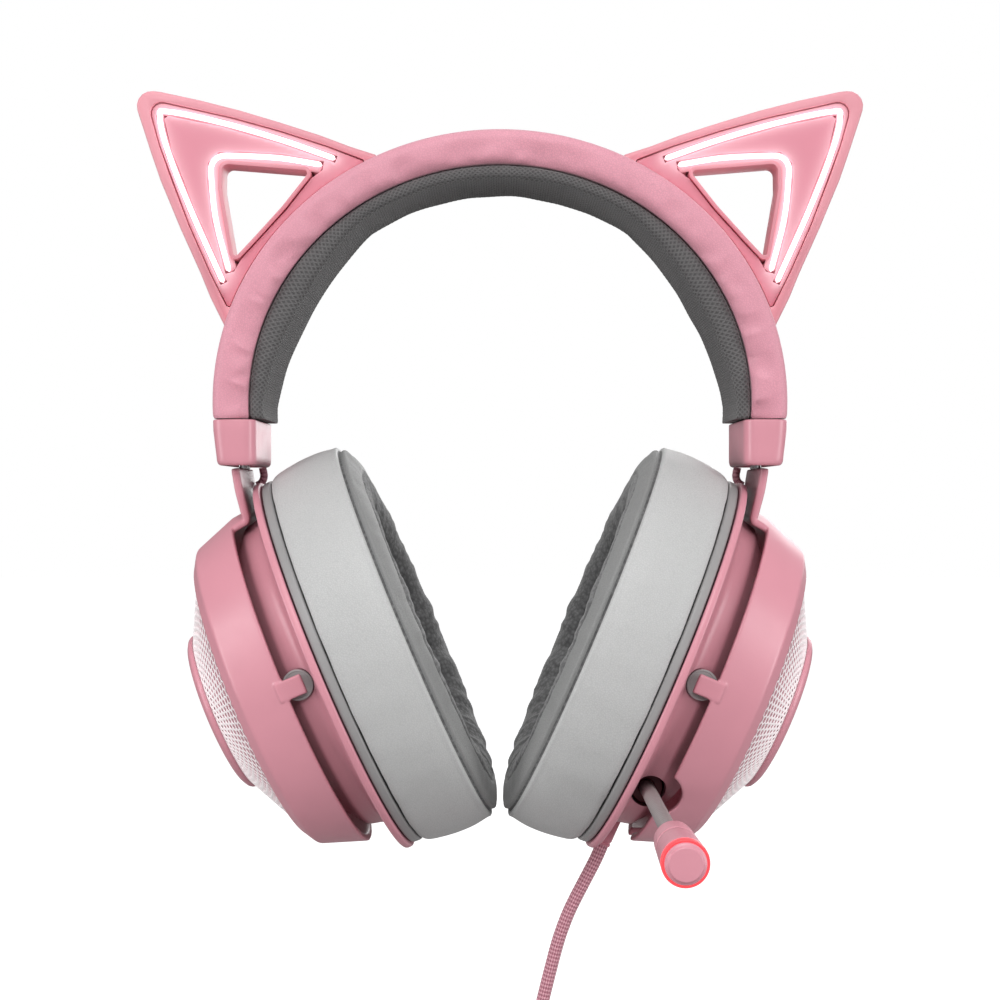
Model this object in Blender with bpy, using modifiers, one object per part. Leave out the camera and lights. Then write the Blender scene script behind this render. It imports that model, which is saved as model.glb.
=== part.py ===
"""Cat-ear gaming headset: a padded headband, two lit ears, two sliding yokes and two tilting cups.

X runs to the wearer's left, -Y to the front, +Z up. The origin is on the underside of the
headband cushion, at the crown of the head. Everything is in metres. A cup is drawn in its own
plane: u runs down the cup, n towards the head, and the plane's zero is the top of its flange.
"""
from math import asin, atan2, cos, pi, radians, sin, sqrt, tan

import bmesh
import bpy
from mathutils import Matrix, Vector

GAP = 0.0003
CUT_MARGIN = 0.0010

# Headband: ellipses about one centre
BAND_CENTRE_Z = -0.0585
BAND_END_Z = -0.0628
BAND_HALF_WIDTH = 0.0185
COVER_OUTER = (0.0748, 0.0710)
COVER_INNER = (0.0655, 0.0620)
CUSHION_INNER = (0.0616, 0.0585)
CUSHION_BULGE = 0.0028
CUSHION_BULGE_SPAN = radians(55)
CUSHION_HALF_WIDTH = 0.0165
SPRING = (0.0718, 0.0670)
SPRING_THICKNESS = 0.0010
SPRING_HALF_WIDTH = 0.0070
SPRING_END_Z = -0.0360
BAND_STEPS = 36

# Collars and the stems that slide in them
COLLAR_X = (0.0634, 0.0748)
COLLAR_BOTTOM_Z = -0.0750
COLLAR_CORNER = 0.0040
STEM_X = (0.0681, 0.0693)
STEM_HALF_WIDTH = 0.0070
STEM_Z = (-0.0757, -0.0400)
STEM_CHANNEL_TOP_Z = -0.0362

# Cup plane
CUP_CENTRE = (0.0434, -0.1277)
CUP_TILT = radians(23)
OVAL = 0.855
CUP_STEPS = 36
PIVOT = (-0.0006, -0.0071)
PIVOT_STEPS = 24
PIN_RADIUS = 0.0015
PIN_HOLE_RADIUS = 0.0016
BUSH_HEAD_RADIUS = 0.0039
BUSH_BODY_RADIUS = 0.0026
BUSH_Y = (0.0348, 0.03735, 0.0382)
BUSH_SEAT_Y = 0.03705

# Yoke
NECK_HALF_WIDTH = 0.0140
NECK_STEPS = 8
RING_EDGE = 0.0470
TAB_HALF_WIDTH = 0.00255
TAB_N = (-0.0125, -0.0053)
TAB_Y = (0.0385, 0.0401)
PIN_Y = (0.0345, 0.0392)
LINK_RADIUS = 0.0011
LINK_Y = 0.0120
LINK_ROUTE = ((0.0654, -0.0753), (0.0650, -0.0774), (0.0656, -0.0791), (0.0668, -0.0799))

BUSH_BORE_Y = (0.0300, 0.0380)
PIN_BORE_Y = (0.0300, 0.0420)
SEAT_OUTER_Y = 0.0420
TAB_ROOM_Y = 0.0340

# Microphone, on the cup on the +X side
MIC_HOLE = (0.0302, -0.0068)
MIC_HOLE_RADIUS = 0.0046
MIC_HOLE_Y = (-0.0400, -0.0120)
RING_NOTCH = (0.0294, -0.0089)
RING_NOTCH_RADIUS = 0.0058
RING_NOTCH_Y = (-0.0450, -0.0200)
GUIDE_RADII = (0.00205, 0.0042)
GUIDE_Y = (-0.0190, -0.0100)
BOOM_RADIUS = 0.00195
BOOM_Y = (-0.0923, -0.0150)
MIC_BACK_Y = -0.0926
MIC_FRONT_Y = -0.1165
MIC_RADII = (0.0044, 0.0050)
MIC_BORE_RADIUS = 0.0034
MIC_BORE_Y = (-0.1170, -0.1000)
MIC_CAPSULE_Y = (-0.1160, -0.1120)
MIC_RING_Y = (-0.1182, -0.1168)
MIC_RING_RADIUS = 0.00507
MIC_CAP_Y = (-0.1200, -0.1185)
MIC_CAP_RADII = (0.0046, 0.0049)

# Controls at the rear of the same cup
WHEEL_U = 0.0220
WHEEL_N = (-0.0065, -0.0040)
WHEEL_Y = 0.0265
WHEEL_RADIUS = 0.0080
WHEEL_GAP = 0.0005
WHEEL_SLOT_Y = (0.0175, 0.0400)
BUTTON_U = -0.0160
BUTTON_N = -0.0060
BUTTON_HALF = (0.0040, 0.0013)
BUTTON_Y = (0.0300, 0.0362)
BUTTON_HOLE_Y = (0.0280, 0.0400)
BOARD_U = (-0.0180, 0.0180)
BOARD_DEPTH_Y = (0.0020, 0.0240)
BOARD_N = (-0.0112, -0.0100)

# Cable
CABLE_RADIUS = 0.0018
RELIEF_N = -0.0044
RELIEF_RADIUS = 0.0024
RELIEF_U = (0.0418, 0.0510)
RELIEF_HOLE_U = (0.0380, 0.0560)
RELIEF_END_SCALE = 0.9
RELIEF_STEPS = 16
RELIEF_NOTCH_U = (0.0300, 0.0600)
RELIEF_NOTCH_N = (-0.0145, -0.0090)
RELIEF_NOTCH_HALF = 0.0034
CABLE_ROUTE = (
    (0.0274, -0.1767), (0.0257, -0.1806), (0.0228, -0.1862), (0.0203, -0.1910), (0.0181, -0.1957),
    (0.0158, -0.2020), (0.0138, -0.2093), (0.0118, -0.2173), (0.0104, -0.2234), (0.0099, -0.2254),
    (0.0087, -0.2282), (0.0064, -0.2304), (0.0034, -0.2316),
)
COIL_CENTRE = (-0.0008, -0.2632)
COIL_MEAN_RADIUS = 0.0215
COIL_HALF_SECTION = 0.0056
COIL_CORNER = 0.0015
TAIL_ROUTE = (
    (-0.0004, -0.0294), (0.0031, -0.0326), (0.0053, -0.0373), (0.0061, -0.0435), (0.0056, -0.0500),
)
TIE_ANGLE = radians(150)
TIE_OPENING = 0.0063
TIE_OUTER = 0.0073
TIE_HALF_WIDTH = 0.0030
PLUG_HALF = (0.0075, 0.0038, 0.0170)
SHELL_HALF = (0.0060, 0.00225, 0.0070)
SHELL_WALL = 0.0004
SHELL_BACK = 0.0016

# Ears: the outline, the hole's corners (x, z, radius), the face panel and the routes of the light strips
EAR_HALF_DEPTH = 0.0050
EAR_TOP_EDGE = (
    (0.0315, 0.0067), (0.0333, 0.0081), (0.0399, 0.0102), (0.0479, 0.0132), (0.0585, 0.0166),
    (0.0692, 0.0198), (0.0798, 0.0225), (0.0905, 0.0248),
)
EAR_TIP = (0.0985, 0.0257)
EAR_TIP_RADIUS = 0.0040
EAR_SIDE_EDGE = (
    (0.0958, 0.0171), (0.0931, 0.0088), (0.0905, 0.0012), (0.0852, -0.0116), (0.0798, -0.0236),
    (0.0772, -0.0300), (0.0735, -0.0375),
)
EAR_BASE_END_Z = -0.0385
EAR_HOLE = (
    (0.0660, -0.0146, 0), (0.0580, -0.0058, 0), (0.0505, 0.0037, 0.0009), (0.0740, 0.0056, 0.0018),
    (0.0741, -0.0010, 0), (0.0709, -0.0198, 0.0008),
)
EAR_HOLE_WALL = 0.0010
EAR_FLOOR_Y = 0.0030
EAR_BASE_WALL = 0.0020
PANEL_TOP_EDGE = (
    (0.0366, 0.0065), (0.0463, 0.0102), (0.0591, 0.0143), (0.0718, 0.0178), (0.0888, 0.0216),
)
PANEL_TIP = (0.0940, 0.0227)
PANEL_TIP_RADIUS = 0.0028
PANEL_SIDE_EDGE = (
    (0.0907, 0.0107), (0.0877, 0.0022), (0.0828, -0.0106), (0.0772, -0.0233), (0.0727, -0.0322),
)
OUTER_STRIP = (
    (0.0439, 0.0070), (0.0585, 0.0121), (0.0745, 0.0167), (0.0887, 0.0196), (0.0907, 0.0181),
    (0.0885, 0.0088), (0.0824, -0.0068), (0.0738, -0.0260),
)
OUTER_STRIP_WIDTH = 0.0015
INNER_STRIP = (
    (0.0474, 0.0053), (0.0585, 0.0071), (0.0692, 0.0077), (0.0745, 0.0076), (0.0768, 0.0054),
    (0.0769, 0.0012), (0.0757, -0.0095), (0.0722, -0.0231),
)
INNER_STRIP_WIDTH = 0.0019
PANEL_Y = (-0.0042, -0.0022)
BOARD_Y = (0.0002, 0.0014)

SIDES = {"left": -1, "right": 1}


# ---------------------------------------------------------------- scene and materials

def clear_scene():
    for item in list(bpy.data.objects):
        bpy.data.objects.remove(item)


def new_collection(name):
    collection = bpy.data.collections.new(name)
    bpy.context.scene.collection.children.link(collection)
    return collection


def principled(name, colour, roughness=0.5, metallic=0.0, glow=0.0):
    material = bpy.data.materials.new(name)
    material.use_nodes = True
    shader = material.node_tree.nodes["Principled BSDF"]
    shader.inputs["Base Color"].default_value = (*colour, 1.0)
    shader.inputs["Roughness"].default_value = roughness
    shader.inputs["Metallic"].default_value = metallic
    shader.inputs["Emission Color"].default_value = (*colour, 1.0)
    shader.inputs["Emission Strength"].default_value = glow
    return material


clear_scene()
PARTS = new_collection("cat_ear_headset")
CUTTERS = new_collection("cutters")

PINK = principled("pink_plastic", (0.78, 0.42, 0.48), 0.35)
LEATHERETTE = principled("pink_leatherette", (0.72, 0.36, 0.43), 0.55)
FABRIC = principled("grey_fabric", (0.14, 0.13, 0.13), 0.9)
PAD_SKIN = principled("grey_leatherette", (0.33, 0.34, 0.34), 0.55)
GREY = principled("grey_plastic", (0.25, 0.25, 0.26), 0.45)
LIGHT = principled("light_guide", (1.0, 0.95, 0.96), 0.3, glow=2.0)
RED_LIGHT = principled("red_light", (1.0, 0.05, 0.08), 0.3, glow=2.0)
GRILLE = principled("lit_grille", (0.80, 0.68, 0.71), 0.4, 0.3)
STEEL = principled("steel", (0.6, 0.6, 0.62), 0.3, 1.0)
BOARD = principled("circuit_board", (0.05, 0.20, 0.10), 0.6)
BLACK = principled("black_plastic", (0.03, 0.03, 0.03), 0.5)
BRAID = principled("pink_braid", (0.62, 0.25, 0.32), 0.8)
SCREEN = principled("black_mesh", (0.04, 0.04, 0.045), 0.95)


# ---------------------------------------------------------------- building blocks

def add(name, data, material=None, parent=None, cutter=False):
    """One named object of a mesh or curve; a cutter is a wire guide that the build leaves out."""
    item = bpy.data.objects.new(name, data)
    (CUTTERS if cutter else PARTS).objects.link(item)
    item.parent = parent
    if material:
        data.materials.append(material)
    if cutter:
        item.hide_render = True
        item.display_type = "WIRE"
    return item


def empty(name, matrix, parent=None):
    item = bpy.data.objects.new(name, None)
    PARTS.objects.link(item)
    item.parent = parent
    item.matrix_local = matrix
    return item


def turned(name, profile, material, parent=None, closed=False, steps=CUP_STEPS, oval=OVAL):
    """Turn a profile of (radius, height) about local Z, squeezed across into an oval."""
    mesh = bpy.data.meshes.new(name)
    edges = [(i, i + 1) for i in range(len(profile) - 1)]
    if closed:
        edges.append((len(profile) - 1, 0))
    mesh.from_pydata([(radius, 0, height) for radius, height in profile], edges, [])
    item = add(name, mesh, material, parent)
    item.scale = (1, oval, 1)
    screw = item.modifiers.new("turn", "SCREW")
    screw.steps = steps
    screw.render_steps = steps
    screw.use_merge_vertices = True
    screw.merge_threshold = 1e-5
    screw.use_normal_calculate = False
    return item


def box(name, low, high, material=None, parent=None, cutter=False):
    mesh = bpy.data.meshes.new(name)
    form = bmesh.new()
    bmesh.ops.create_cube(form, size=1.0)
    for vert in form.verts:
        for axis in range(3):
            vert.co[axis] = low[axis] if vert.co[axis] < 0 else high[axis]
    form.to_mesh(mesh)
    form.free()
    return add(name, mesh, material, parent, cutter)


def rod(name, start, end, radius, material=None, parent=None, steps=PIVOT_STEPS, end_radius=None,
        cutter=False):
    """A round bar from one point to another, tapered if it is given an end radius."""
    start, end = Vector(start), Vector(end)
    mesh = bpy.data.meshes.new(name)
    form = bmesh.new()
    bmesh.ops.create_cone(form, cap_ends=True, segments=steps, radius1=radius,
                          radius2=end_radius or radius, depth=(end - start).length)
    turn = Vector((0, 0, 1)).rotation_difference(end - start).to_matrix().to_4x4()
    bmesh.ops.transform(form, matrix=Matrix.Translation((start + end) / 2) @ turn, verts=form.verts)
    form.to_mesh(mesh)
    form.free()
    return add(name, mesh, material, parent, cutter)


def plate(name, loops, near, far, material=None, cutter=False, across="Y"):
    """A flat outline with its holes, extruded between two heights along world Y or Z."""
    curve = bpy.data.curves.new(name, "CURVE")
    curve.dimensions = "2D"
    curve.fill_mode = "BOTH"
    curve.extrude = (far - near) / 2
    for loop in loops:
        spline = curve.splines.new("POLY")
        spline.points.add(len(loop) - 1)
        for point, (first, second) in zip(spline.points, loop):
            point.co = (first, second, 0, 1)
        spline.use_cyclic_u = True
    item = add(name, curve, material, cutter=cutter)
    if across == "Y":
        item.rotation_euler = (pi / 2, 0, 0)
        item.location = (0, (near + far) / 2, 0)
    else:
        item.location = (0, 0, (near + far) / 2)
    return item


def as_mesh(item):
    """Replace a curve object by a mesh object of the same name, with its caps welded."""
    bpy.context.view_layer.update()
    name, parent, cutter = item.name, item.parent, item.hide_render
    material = item.data.materials[0] if len(item.data.materials) else None
    evaluated = item.evaluated_get(bpy.context.evaluated_depsgraph_get())
    mesh = bpy.data.meshes.new_from_object(evaluated)
    form = bmesh.new()
    form.from_mesh(mesh)
    bmesh.ops.remove_doubles(form, verts=form.verts, dist=1e-5)
    bmesh.ops.recalc_face_normals(form, faces=form.faces)
    form.to_mesh(mesh)
    form.free()
    place = item.matrix_world.copy()
    bpy.data.objects.remove(item)
    solid = add(name, mesh, None, parent, cutter)
    if material and not len(mesh.materials):
        mesh.materials.append(material)
    solid.matrix_world = place
    return solid


def tube(name, points, radius, material, parent=None, resolution=2):
    """A round cord along points, as a bevelled curve with filled caps."""
    curve = bpy.data.curves.new(name, "CURVE")
    curve.dimensions = "3D"
    curve.bevel_depth = radius
    curve.bevel_resolution = resolution
    curve.use_fill_caps = True
    spline = curve.splines.new("POLY")
    spline.points.add(len(points) - 1)
    for point, place in zip(spline.points, points):
        point.co = (*place, 1)
    return add(name, curve, material, parent)


def combine(item, other, operation):
    modifier = item.modifiers.new(operation.lower(), "BOOLEAN")
    modifier.operation = operation
    modifier.object = other
    modifier.solver = "EXACT"


def cut(item, *cutters):
    for cutter in cutters:
        combine(item, cutter, "DIFFERENCE")


def join(item, *others):
    for other in others:
        combine(item, other, "UNION")


def loft(name, sections, material=None, cutter=False):
    """A solid skinned over closed sections of equal length, capped at both ends."""
    form = bmesh.new()
    rows = [[form.verts.new(point) for point in section] for section in sections]
    for row, following in zip(rows, rows[1:]):
        for i in range(len(row)):
            j = (i + 1) % len(row)
            form.faces.new((row[i], row[j], following[j], following[i]))
    form.faces.new(rows[0])
    form.faces.new(rows[-1])
    bmesh.ops.triangulate(form, faces=form.faces)
    bmesh.ops.recalc_face_normals(form, faces=form.faces)
    mesh = bpy.data.meshes.new(name)
    form.to_mesh(mesh)
    form.free()
    return add(name, mesh, material, cutter=cutter)


# ---------------------------------------------------------------- geometry in the plane

def offset_path(points, distance, closed=False):
    """Shift a path to its left by a distance, mitred at the corners."""
    shifted = []
    count = len(points)
    for i, point in enumerate(points):
        here = Vector(point)
        before = Vector(points[i - 1]) if closed or i else None
        after = Vector(points[(i + 1) % count]) if closed or i < count - 1 else None
        first = (here - before).normalized() if before is not None else (after - here).normalized()
        second = (after - here).normalized() if after is not None else first
        normal = Vector((-first.y - second.y, first.x + second.x)).normalized()
        reach = distance / max(0.5, normal.dot(Vector((-second.y, second.x))))
        shifted.append(tuple(here + normal * reach))
    return shifted


def corner_arc(before, corner, after, radius, steps=5):
    """Points of the arc that rounds a corner between its two neighbours."""
    here = Vector(corner)
    back, ahead = (Vector(before) - here).normalized(), (Vector(after) - here).normalized()
    half = back.angle(ahead) / 2
    middle = here + (back + ahead).normalized() * radius / sin(half)
    start = here + back * radius / tan(half) - middle
    end = here + ahead * radius / tan(half) - middle
    return [tuple(middle + start.slerp(end, i / steps) * radius) for i in range(steps + 1)]


def rounded_loop(corners):
    """A closed path from (x, z, radius) corners, sharp where the radius is zero."""
    points = []
    for i, (x, z, radius) in enumerate(corners):
        before, after = corners[i - 1][:2], corners[(i + 1) % len(corners)][:2]
        points += corner_arc(before, (x, z), after, radius) if radius else [(x, z)]
    return points


def ribbon(points, width):
    return offset_path(points, width / 2) + offset_path(points, -width / 2)[::-1]


def stretched(points, extra):
    """The same path, made longer by extra at both ends."""
    first, second = Vector(points[0]), Vector(points[1])
    last, before = Vector(points[-1]), Vector(points[-2])
    start = first + (first - second).normalized() * extra
    end = last + (last - before).normalized() * extra
    return [tuple(start), *points[1:-1], tuple(end)]


def band_arc(ellipse, end_z, steps=BAND_STEPS, bulge=0.0):
    """Points of a headband ellipse, from its left end over the top to its right end."""
    a, b = ellipse
    low = asin((end_z - BAND_CENTRE_Z) / b)
    points = []
    for i in range(steps + 1):
        angle = (pi - low) + (2 * low - pi) * i / steps
        rise = min(angle, pi - angle)
        inward = bulge * sin(pi * rise / CUSHION_BULGE_SPAN) if 0 < rise < CUSHION_BULGE_SPAN else 0.0
        points.append(((a - inward) * cos(angle), BAND_CENTRE_Z + (b - inward) * sin(angle)))
    return points


def band_strip(ellipse, half_thickness, end_z):
    a, b = ellipse
    outer = band_arc((a + half_thickness, b + half_thickness), end_z)
    inner = band_arc((a - half_thickness, b - half_thickness), end_z)
    return outer + inner[::-1]


def base_arc(clearance, start, end, steps=16):
    """Points on the right side, a clearance above the cover, between two points near it."""
    a, b = COVER_OUTER[0] + clearance, COVER_OUTER[1] + clearance
    first = atan2((start[1] - BAND_CENTRE_Z) / b, start[0] / a)
    last = atan2((end[1] - BAND_CENTRE_Z) / b, end[0] / a)
    angles = [first + (last - first) * i / steps for i in range(steps + 1)]
    return [(a * cos(angle), BAND_CENTRE_Z + b * sin(angle)) for angle in angles]


def rounded_rectangle(x_range, y_range, corner, steps=4):
    points = []
    left, right = x_range[0] + corner, x_range[1] - corner
    near, far = y_range[0] + corner, y_range[1] - corner
    centres = ((right, far, 0), (left, far, 1), (left, near, 2), (right, near, 3))
    for x, y, quarter in centres:
        for i in range(steps + 1):
            angle = (quarter + i / steps) * pi / 2
            points.append((x + corner * cos(angle), y + corner * sin(angle)))
    return points


def sided(points, side):
    return [(side * x, z) for x, z in points]


def smooth(points, steps):
    """Points on a smooth curve through the given ones (Catmull-Rom)."""
    route = [Vector(point) for point in points]
    route = [2 * route[0] - route[1], *route, 2 * route[-1] - route[-2]]
    curve = []
    for i in range(1, len(route) - 2):
        p0, p1, p2, p3 = route[i - 1:i + 3]
        for step in range(steps):
            t = step / steps
            curve.append(0.5 * (2 * p1 + (p2 - p0) * t + (2 * p0 - 5 * p1 + 4 * p2 - p3) * t ** 2
                                + (3 * p1 - p0 - 3 * p2 + p3) * t ** 3))
    return curve + [route[-2]]


def in_cup(side, u, n):
    """World x and z of a point in a cup's plane."""
    x = CUP_CENTRE[0] - u * sin(CUP_TILT) - n * cos(CUP_TILT)
    return side * x, CUP_CENTRE[1] - u * cos(CUP_TILT) + n * sin(CUP_TILT)


def cup_matrix(side):
    """The cup plane's frame: local X is u, local Z is n, and local Y is across."""
    u = Vector((-side * sin(CUP_TILT), 0, -cos(CUP_TILT)))
    n = Vector((-side * cos(CUP_TILT), 0, sin(CUP_TILT)))
    turn = Matrix((u, n.cross(u), n)).transposed().to_4x4()
    return Matrix.Translation((side * CUP_CENTRE[0], 0, CUP_CENTRE[1])) @ turn


# ---------------------------------------------------------------- headband

def stem_slot(name, side, low_z, high_z):
    x_low, x_high = sorted((side * (STEM_X[0] - GAP), side * (STEM_X[1] + GAP)))
    reach = STEM_HALF_WIDTH + GAP
    return box(name, (x_low, -reach, low_z), (x_high, reach, high_z), cutter=True)


def build_headband():
    outline = band_arc(COVER_OUTER, BAND_END_Z) + band_arc(COVER_INNER, BAND_END_Z)[::-1]
    cover = as_mesh(plate("headband_cover", [outline], -BAND_HALF_WIDTH, BAND_HALF_WIDTH, LEATHERETTE))
    strip = band_strip(SPRING, SPRING_THICKNESS / 2, SPRING_END_Z)
    plate("headband_spring", [strip], -SPRING_HALF_WIDTH, SPRING_HALF_WIDTH, STEEL)
    channel_outline = band_strip(SPRING, SPRING_THICKNESS / 2 + GAP, SPRING_END_Z - 2 * GAP)
    reach = SPRING_HALF_WIDTH + GAP
    cut(cover, as_mesh(plate("spring_channel", [channel_outline], -reach, reach, cutter=True)))
    for label, side in SIDES.items():
        cut(cover, stem_slot(label + "_cover_slot", side, BAND_END_Z - CUT_MARGIN, STEM_CHANNEL_TOP_Z))

    outer = (COVER_INNER[0] - GAP, COVER_INNER[1] - GAP)
    inner = band_arc(CUSHION_INNER, BAND_END_Z, bulge=CUSHION_BULGE)
    plate("headband_cushion", [band_arc(outer, BAND_END_Z) + inner[::-1]],
          -CUSHION_HALF_WIDTH, CUSHION_HALF_WIDTH, FABRIC)


def build_collar(label, side):
    width = tuple(sorted((side * COLLAR_X[0], side * COLLAR_X[1])))
    outline = rounded_rectangle(width, (-BAND_HALF_WIDTH, BAND_HALF_WIDTH), COLLAR_CORNER)
    slot_x = tuple(sorted((side * (STEM_X[0] - GAP), side * (STEM_X[1] + GAP))))
    slot = rounded_rectangle(slot_x, (-STEM_HALF_WIDTH - GAP, STEM_HALF_WIDTH + GAP), GAP, steps=1)
    plate(label + "_collar", [outline, slot], COLLAR_BOTTOM_Z, BAND_END_Z - GAP, PINK, across="Z")


# ---------------------------------------------------------------- ears

def build_ear(label, side):
    tip = corner_arc(EAR_TOP_EDGE[-1], EAR_TIP, EAR_SIDE_EDGE[0], EAR_TIP_RADIUS)
    outline = [*EAR_TOP_EDGE, *tip, *EAR_SIDE_EDGE]
    hole = rounded_loop(EAR_HOLE)
    foot = (0.0718, EAR_BASE_END_Z)
    outline += base_arc(GAP, foot, outline[0])[:-1]
    shell = as_mesh(plate(label + "_ear_shell", [sided(outline, side), sided(hole, side)],
                          -EAR_HALF_DEPTH, EAR_HALF_DEPTH, PINK))

    panel_tip = corner_arc(PANEL_TOP_EDGE[-1], PANEL_TIP, PANEL_SIDE_EDGE[0], PANEL_TIP_RADIUS)
    panel_edge = [*PANEL_TOP_EDGE, *panel_tip, *PANEL_SIDE_EDGE]
    pocket_edge = offset_path(panel_edge, GAP)
    pocket = pocket_edge + base_arc(EAR_BASE_WALL, pocket_edge[-1], pocket_edge[0])
    hole_wall = offset_path(hole, EAR_HOLE_WALL, closed=True)
    cutter = as_mesh(plate(label + "_ear_pocket", [sided(pocket, side), sided(hole_wall, side)],
                           -EAR_HALF_DEPTH - CUT_MARGIN, EAR_FLOOR_Y, cutter=True))
    cut(shell, cutter)

    base = base_arc(EAR_BASE_WALL + GAP, panel_edge[-1], panel_edge[0])
    slot = ribbon(stretched(OUTER_STRIP, GAP), OUTER_STRIP_WIDTH + 2 * GAP)
    inner_half = INNER_STRIP_WIDTH / 2
    inner_route = stretched(INNER_STRIP, GAP)
    hole_side = offset_path(inner_route, -inner_half - GAP)
    hole_rim = offset_path(hole, EAR_HOLE_WALL + GAP, closed=True)
    slope = [hole_rim[-1], *hole_rim[:3]]
    window = [*offset_path(inner_route, inner_half + GAP), hole_side[-1], *slope, hole_side[0]]
    panel = [sided(path, side) for path in (panel_edge + base, slot, window)]
    plate(label + "_ear_panel", panel, *PANEL_Y, PINK)
    plate(label + "_ear_light_outer", [sided(ribbon(OUTER_STRIP, OUTER_STRIP_WIDTH), side)], *PANEL_Y, LIGHT)
    plate(label + "_ear_light_inner", [sided(ribbon(INNER_STRIP, INNER_STRIP_WIDTH), side)], *PANEL_Y, LIGHT)

    board = panel_edge + base_arc(EAR_BASE_WALL + 2 * GAP, panel_edge[-1], panel_edge[0])
    board_hole = offset_path(hole, EAR_HOLE_WALL + 2 * GAP, closed=True)
    plate(label + "_ear_board", [sided(board, side), sided(board_hole, side)], *BOARD_Y, BOARD)


# ---------------------------------------------------------------- yoke

def neck_section(side, point, direction, thickness, curve):
    """A closed section across the neck: flat at the collar, following the ring's oval below."""
    u = Vector((-side * sin(CUP_TILT), -cos(CUP_TILT)))
    normal = Vector((-direction.y, direction.x)) * thickness / 2
    half_depth = RING_EDGE * OVAL
    front, back = [], []
    for i in range(NECK_STEPS + 1):
        y = NECK_HALF_WIDTH * (2 * i / NECK_STEPS - 1)
        sag = curve * RING_EDGE * (1 - sqrt(1 - (y / half_depth) ** 2))
        centre = point + u * sag
        front.append((centre.x + normal.x, y, centre.y + normal.y))
        back.append((centre.x - normal.x, y, centre.y - normal.y))
    return front + back[::-1]


def build_neck(label, side):
    route = [(side * 0.0693, -0.0760), (side * 0.0683, -0.0815), (side * 0.0672, -0.0862),
             in_cup(side, -0.0460, -0.0063), in_cup(side, -0.0461, -0.0082),
             in_cup(side, -0.0459, -0.0104), in_cup(side, -0.0449, -0.0132)]
    thickness = (0.0022, 0.0022, 0.0022, 0.0021, 0.0019, 0.0015, 0.0015)
    curve = (0.0, 0.0, 0.3, 0.7, 0.9, 1.0, 1.0)
    points = [Vector(point) for point in route]
    sections = []
    for i, point in enumerate(points):
        direction = points[min(i + 1, len(points) - 1)] - points[max(i - 1, 0)]
        sections.append(neck_section(side, point, direction.normalized(), thickness[i], curve[i]))
    return loft(label + "_neck", sections, cutter=True)


def across_rod(name, side, place, y_range, radius, parent, cutter=True, material=None, steps=PIVOT_STEPS):
    """A round bar along world Y through a point of the cup's plane, in that plane's frame."""
    u, n = place
    ends = [(u, -side * y, n) for y in y_range]
    return rod(name, ends[0], ends[1], radius, material, parent, steps, cutter=cutter)


def across_box(name, side, u_range, y_range, n_range, parent, cutter=True, material=None):
    low_y, high_y = sorted(-side * y for y in y_range)
    low, high = zip(u_range, (low_y, high_y), n_range)
    return box(name, low, high, material, parent, cutter)


def build_yoke(label, side):
    body = empty(label + "_yoke_frame", cup_matrix(side))
    ring = turned(label + "_yoke", (
        (0.0448, -0.0102), (0.0470, -0.0102), (0.0427, -0.0224), (0.0385, -0.0250),
        (0.0373, -0.0250), (0.0373, -0.0234), (0.0403, -0.0212)), PINK, body, closed=True)
    join(ring, build_neck(label, side))
    for face, sign in (("front", -1), ("rear", 1)):
        name = label + "_" + face
        u_range = (PIVOT[0] - TAB_HALF_WIDTH, PIVOT[0] + TAB_HALF_WIDTH)
        tab_y = [sign * y for y in TAB_Y]
        tab = across_box(name + "_tab", side, u_range, tab_y, TAB_N, body)
        pin = across_rod(name + "_pin", side, PIVOT, [sign * y for y in PIN_Y], PIN_RADIUS, body)
        room = across_rod(name + "_bush_room", side, PIVOT, (sign * TAB_ROOM_Y, sign * TAB_Y[0]),
                          BUSH_HEAD_RADIUS + GAP, body)
        cut(ring, room)
        join(ring, tab, pin)
    if side > 0:
        notch = across_rod("mic_notch", side, RING_NOTCH, RING_NOTCH_Y, RING_NOTCH_RADIUS, body)
        relief = across_box("cable_notch", side, RELIEF_NOTCH_U, (-RELIEF_NOTCH_HALF, RELIEF_NOTCH_HALF),
                            RELIEF_NOTCH_N, body)
        cut(ring, notch, relief)

    turned(label + "_grille", (
        (0.0369, -0.0232), (0.0369, -0.0248), (0.0205, -0.0334), (0.0170, -0.0334),
        (0.0170, -0.0320), (0.0201, -0.0320)), GRILLE, body, closed=True)
    turned(label + "_badge", (
        (0.0, -0.0337), (0.0208, -0.0337), (0.0208, -0.0343), (0.0182, -0.0350),
        (0.0100, -0.0354), (0.0, -0.0355)), PINK, body, steps=PIVOT_STEPS)

    low_x, high_x = sorted((side * STEM_X[0], side * STEM_X[1]))
    box(label + "_slider_stem", (low_x, -STEM_HALF_WIDTH, STEM_Z[0]),
        (high_x, STEM_HALF_WIDTH, STEM_Z[1]), STEEL)
    wire = [(side * x, LINK_Y, z) for x, z in LINK_ROUTE]
    tube(label + "_link_wire", smooth(wire, 3), LINK_RADIUS, BRAID)


# ---------------------------------------------------------------- cup

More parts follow.
